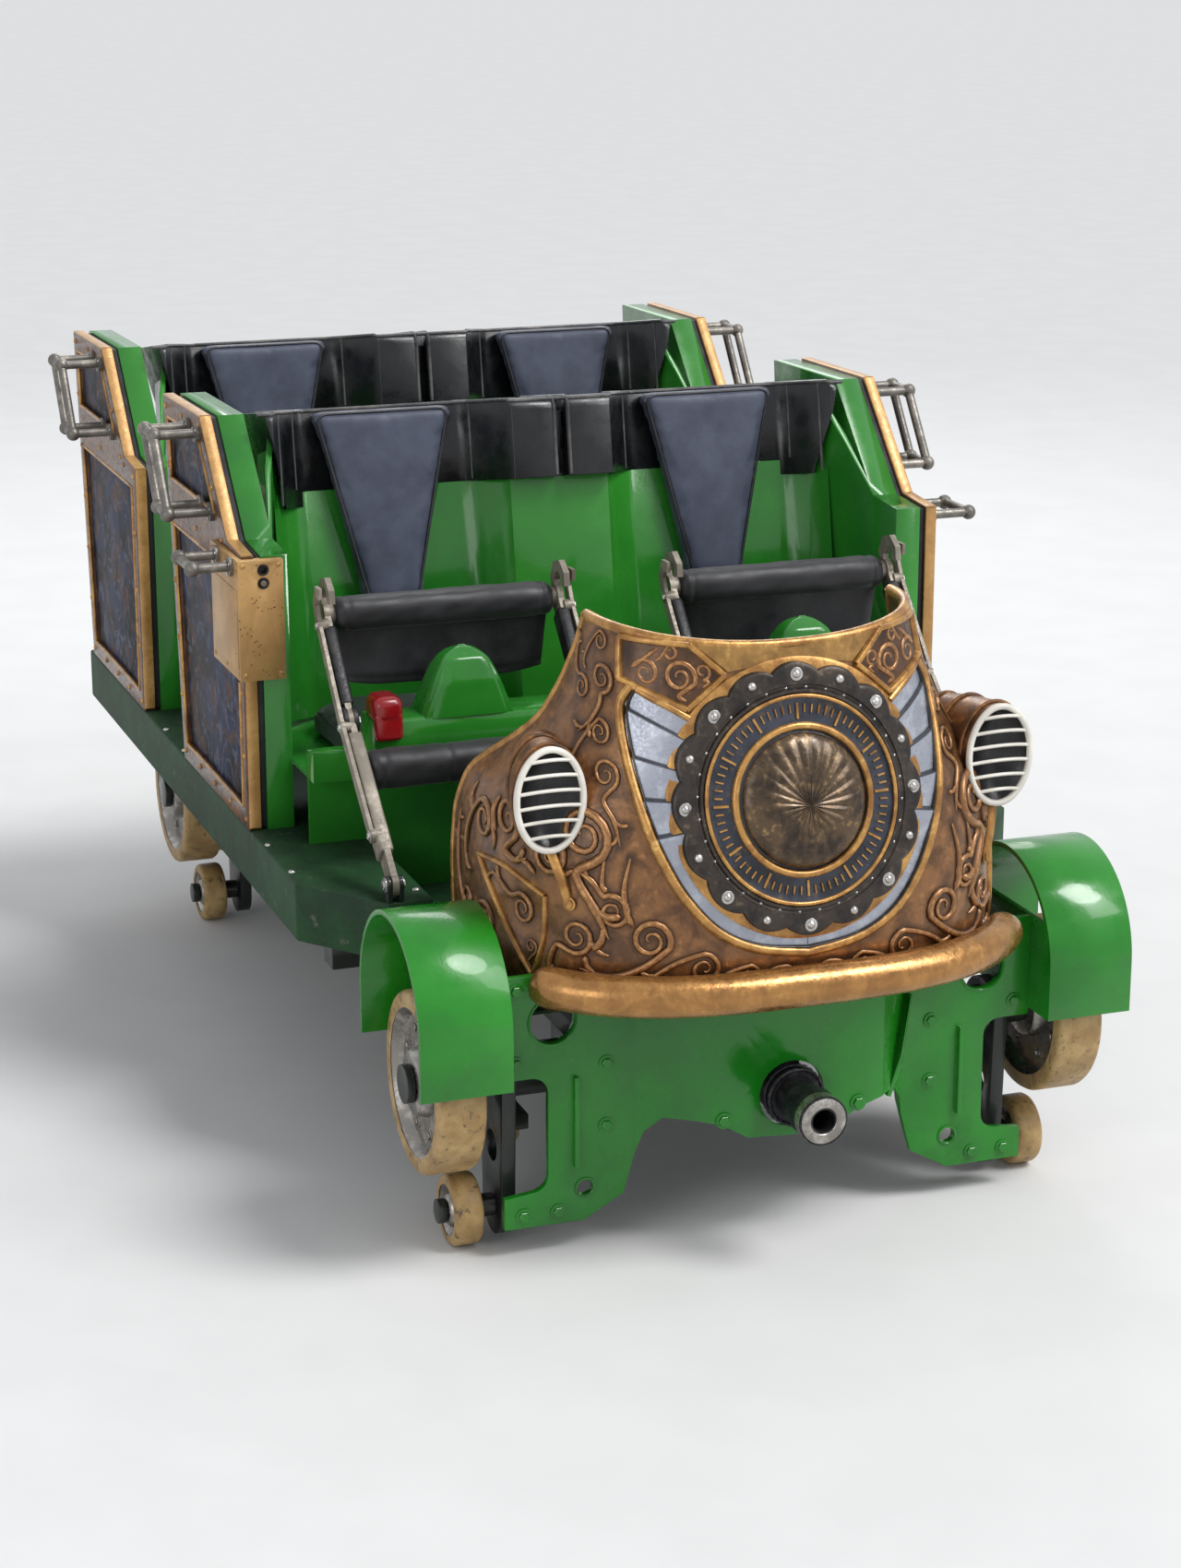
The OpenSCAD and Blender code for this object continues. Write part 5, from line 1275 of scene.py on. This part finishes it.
def body_hardware():
    """Bolts and rings on the front plate, box, floor, grab rods and hitch."""
    steel, green = Parts(), Parts()
    feet = [(row, x, z, 0) for row in (1, 2)
            for x, z in ((-0.012, 1.100), (-0.082, 1.100), (0.075, 0.982), (0.005, 0.982))]
    for s in (1, -1):
        for y, z in ((0.410, 0.430), (0.300, 0.430), (0.410, 0.315), (0.245, 0.430), (0.268, 0.300), (0.268, 0.200),
                     (0.400, 0.070), (0.345, 0.070)):
            bolt(green, (ORIGIN_X, s * y, z), (1, 0, 0), 0.0085)
        for y, z, r in ((0.353, 0.376, 0.035), (0.302, 0.103, 0.0125)):
            ring = [(r, -0.0015), (r + 0.0035, -0.0015), (r + 0.0035, 0.0012), (r + 0.001, 0.0024), (r, 0.0012)]
            green.put(*turned(ring, (ORIGIN_X, s * y, z), (1, 0, 0)))
        for x in (-0.162, -0.022):
            bolt(green, (ORIGIN_X + x, s * 0.4365, 0.410), (0, -s, 0), h=0.005)
        for x in np.linspace(-1.02, 0.66, 12):
            for y in (0.452, 0.612) if x < 0.54 else (0.452,):
                rivet(steel, (x, s * y, 0.480), (0, 0, 1), 0.006, 0.004)
        box_lid = 0.010 if s == -1 else 0
        for row, x, z, out in feet + [(1, 0.246, 0.924, box_lid), (1, 0.150, 0.924, box_lid)]:
            for t in circle(3) + 0.5:
                place = (ROW_X[row] + x + 0.0118 * cos(t), s * (SIDE_Y + 0.006 + out), z + 0.0118 * sin(t))
                bolt(steel, place, (0, s, 0), 0.0028, 0.002, washer=False)
        bolt(steel, (-1.187, s * 0.060, COUPLER_Z), (0, s, 0), 0.020, 0.010)
        for z in (0.425, 0.215):
            bolt(green, (ORIGIN_X + 0.080, s * 0.11, z), (1, 0, 0), 0.009)
        for z in (0.205, 0.290):
            bolt(steel, (-1.101, s * 0.080, z), (-1, 0, 0), 0.010, 0.008)
    green.piece("plate_bolts", GREEN, "green_paint")
    steel.piece("small_bolts", STUD, "pewter")


def coupler_dress():
    """Worn bright rim and weld beads of the coupler tube."""
    rim, weld = Parts(), Parts()
    rim.put(*turned([(0.0183, -0.012), (0.0185, -0.002), (0.0215, 0.0012), (0.0330, 0.0015), (0.0375, -0.0015),
                     (0.0386, -0.006), (0.0386, -0.020), (0.0378, -0.022)],
                    (ORIGIN_X + 0.200, 0, COUPLER_Z), (1, 0, 0), 64))
    rim.piece("coupler_rim", BRIGHT, "coupler_steel")
    a = circle(90)
    for x, r in ((0.154, 0.0352), (0.098, 0.0438), (0.081, 0.0444)):
        path = np.stack([ORIGIN_X + x + 0 * a, r * np.cos(a), COUPLER_Z + r * np.sin(a)], 1)
        weld.put(*tube(path, 0.0028 + 0.0007 * np.sin(a * 24), 8, closed=True, up=(1, 0, 0)))
    weld.piece("coupler_welds", STEEL, "coupler_steel")


def box_dress():
    """Door seam, screws and rimmed sockets of the brass box."""
    trim, dark = Parts(), Parts()
    x1, y0, y1, z0, z1, ahead = ROW_X[1] + 0.290, -0.632, -0.5563, 0.740, 0.940, (1, 0, 0)
    for y in (y0 + 0.008, y1 - 0.008):
        for z in (z0 + 0.010, z1 - 0.008):
            bolt(trim, (x1, y, z), ahead, 0.0032, 0.002, hexagon=False)
    for x in (x1 - 0.012, x1 - 0.095, x1 - 0.178):
        for z in (z0 + 0.010, z1 - 0.010):
            bolt(trim, (x, y0, z), (0, -1, 0), 0.0032, 0.002, hexagon=False)
    trim.put(*rounded_box((x1 - 0.180, y0 - 0.0012, z0 + 0.018), (x1 - 0.010, y0 + 0.001, z1 - 0.050), 0.0008))
    for z in (0.902, 0.924):
        dark.put(*turned([(0.0058, -0.010), (0.0058, 0.0012), (0.0085, 0.0016), (0.0098, 0.0), (0.0098, -0.001)],
                         (x1, -0.590, z), ahead, 32))
    dark.put(*turned([(0, -0.006), (0.0052, -0.006), (0.0052, -0.004), (0, -0.0035)], (x1, -0.590, 0.924), ahead, 24))
    dark.put(*turned([(0, -0.006), (0.0050, -0.006), (0.0050, 0.0030), (0.0040, 0.0046), (0, 0.0050)],
                     (x1, -0.590, 0.902), ahead, 24), kind=1)
    trim.piece("box_trim", BOX, "box_brass")
    dark.piece("box_sockets", [BLACK_BAR, BUTTON], "box_brass")


def wheels():
    """Cream bands on dished steel hubs with bolts, for each size of wheel."""
    for name in DRESS[TYRE]:
        low, high = [np.array(v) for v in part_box(name)]
        middle, half = (low + high) / 2, (high - low) / 2
        upright, r, big = name.startswith("guide"), half[0], half[0] > 0.1
        axis, h = ((0, 0, 1), half[2]) if upright else ((0, 1, 0), half[1])
        bore = 0.02005 if name.startswith("road") else 0.01205
        band, share, count, bolt_r, bolt_h = (0.026, 0.36, 8, 0.0065, 0.005) if big else (0.016, 0.42, 5, 0.0035, 0.003)
        hub, inner = r * share, r - band
        tread, steel = Parts(), Parts()
        side = [(inner, 0.001 - h), (r - 0.008, -h), (r - 0.003, 0.002 - h), (r, 0.007 - h)]
        tread.put(*turned(side + [(q, -z) for q, z in reversed(side)], middle, axis, 72))
        side = [(bore, h), (hub - 0.004, h), (hub, h - 0.003), (hub + 0.004, h * 0.52), (inner - 0.010, h * 0.48),
                (inner - 0.004, h * 0.80), (inner + 0.001, h - 0.002)]
        steel.put(*turned(side + [(q, -z) for q, z in reversed(side)] + [side[0]], middle, axis, 72))
        for a in circle(count) + pi / count:
            x, q = (hub + inner) / 2 * np.array([cos(a), sin(a)])
            for way in (-1, 1):
                d = way * h * 0.49
                bolt(steel, middle + ((x, q, d) if upright else (x, d, q)), way * np.array(axis), bolt_r, bolt_h)
        tread.piece(f"band_{name}", TYRE, "wheel_tyre", body=name, swap=[name])
        steel.piece(f"hub_{name}", BRIGHT, "wheel_tyre", body=name)


side_trim()
body_hardware()
coupler_dress()
box_dress()
wheels()


# ---------------------------------------------------------------- stage


def aimed(name, data, place, direction):
    """Lamp or camera that looks in a direction."""
    o = linked(name, data)
    o.location = place
    o.rotation_mode = "QUATERNION"
    o.rotation_quaternion = Vector(direction).to_track_quat("-Z", "Y")
    return o


def floor_and_sky():
    """Pale floor and an even sky, brighter where it is seen or mirrored."""
    size = 160.0
    mesh = bpy.data.meshes.new("floor")
    mesh.from_pydata([(-size, -size, 0), (size, -size, 0), (size, size, 0), (-size, size, 0)], [], [(0, 1, 2, 3)])
    linked("floor", mesh)
    g = Graph("floor_pale", 0.8)
    g.put(g.shader["Base Color"], g.lay((214, 214, 213), (217, 217, 216), g.range(g.noise(5.0, 2.0), 0.3, 0.7)))
    mesh.materials.append(g.material)

    world = bpy.data.worlds.new("studio")
    world.use_nodes = True
    tree = world.node_tree
    path, most, scale = (tree.nodes.new("ShaderNode" + kind) for kind in ("LightPath", "Math", "MapRange"))
    back = tree.nodes["Background"].inputs
    most.operation = "MAXIMUM"
    scale.inputs["To Min"].default_value = 0.55
    scale.inputs["To Max"].default_value = 0.85
    for start, end in ((path.outputs["Is Camera Ray"], most.inputs[0]),
                       (path.outputs["Is Glossy Ray"], most.inputs[1]),
                       (most.outputs["Value"], scale.inputs["Value"]),
                       (scale.outputs["Result"], back["Strength"])):
        tree.links.new(start, end)
    back["Color"].default_value = (0.93, 0.95, 1.0, 1.0)
    bpy.context.scene.world = world


def lights():
    """A soft sun and three square lamps."""
    sun = bpy.data.lights.new("sun", "SUN")
    sun.energy = 2.0
    sun.angle = radians(22)
    aimed("sun", sun, (0, 0, 0), (-0.42, -0.50, -1.0))
    for name, place, aim, side, power in (
        ("key", (4.2, 4.0, 4.6), (0, 0, 0.4), 2.4, 110),
        ("fill", (4.0, -5.2, 2.6), (0, 0, 0.4), 3.0, 60),
        ("back", (-4.6, 1.5, 4.2), (0, 0, 0.6), 2.6, 80),
    ):
        lamp = bpy.data.lights.new(name, "AREA")
        lamp.shape = "SQUARE"
        lamp.size = side
        lamp.energy = power
        aimed(name, lamp, place, Vector(aim) - Vector(place))


def camera():
    """Camera from the photograph's side."""
    cam = bpy.data.cameras.new("camera")
    cam.sensor_width = 36
    cam.lens = 73
    place = Vector((5.207, -1.799, 2.030))
    bpy.context.scene.camera = aimed("camera", cam, place, Vector((0.05, 0.058, 0.435)) - place)


floor_and_sky()
lights()
camera()
bpy.context.scene.view_settings.view_transform = "Standard"
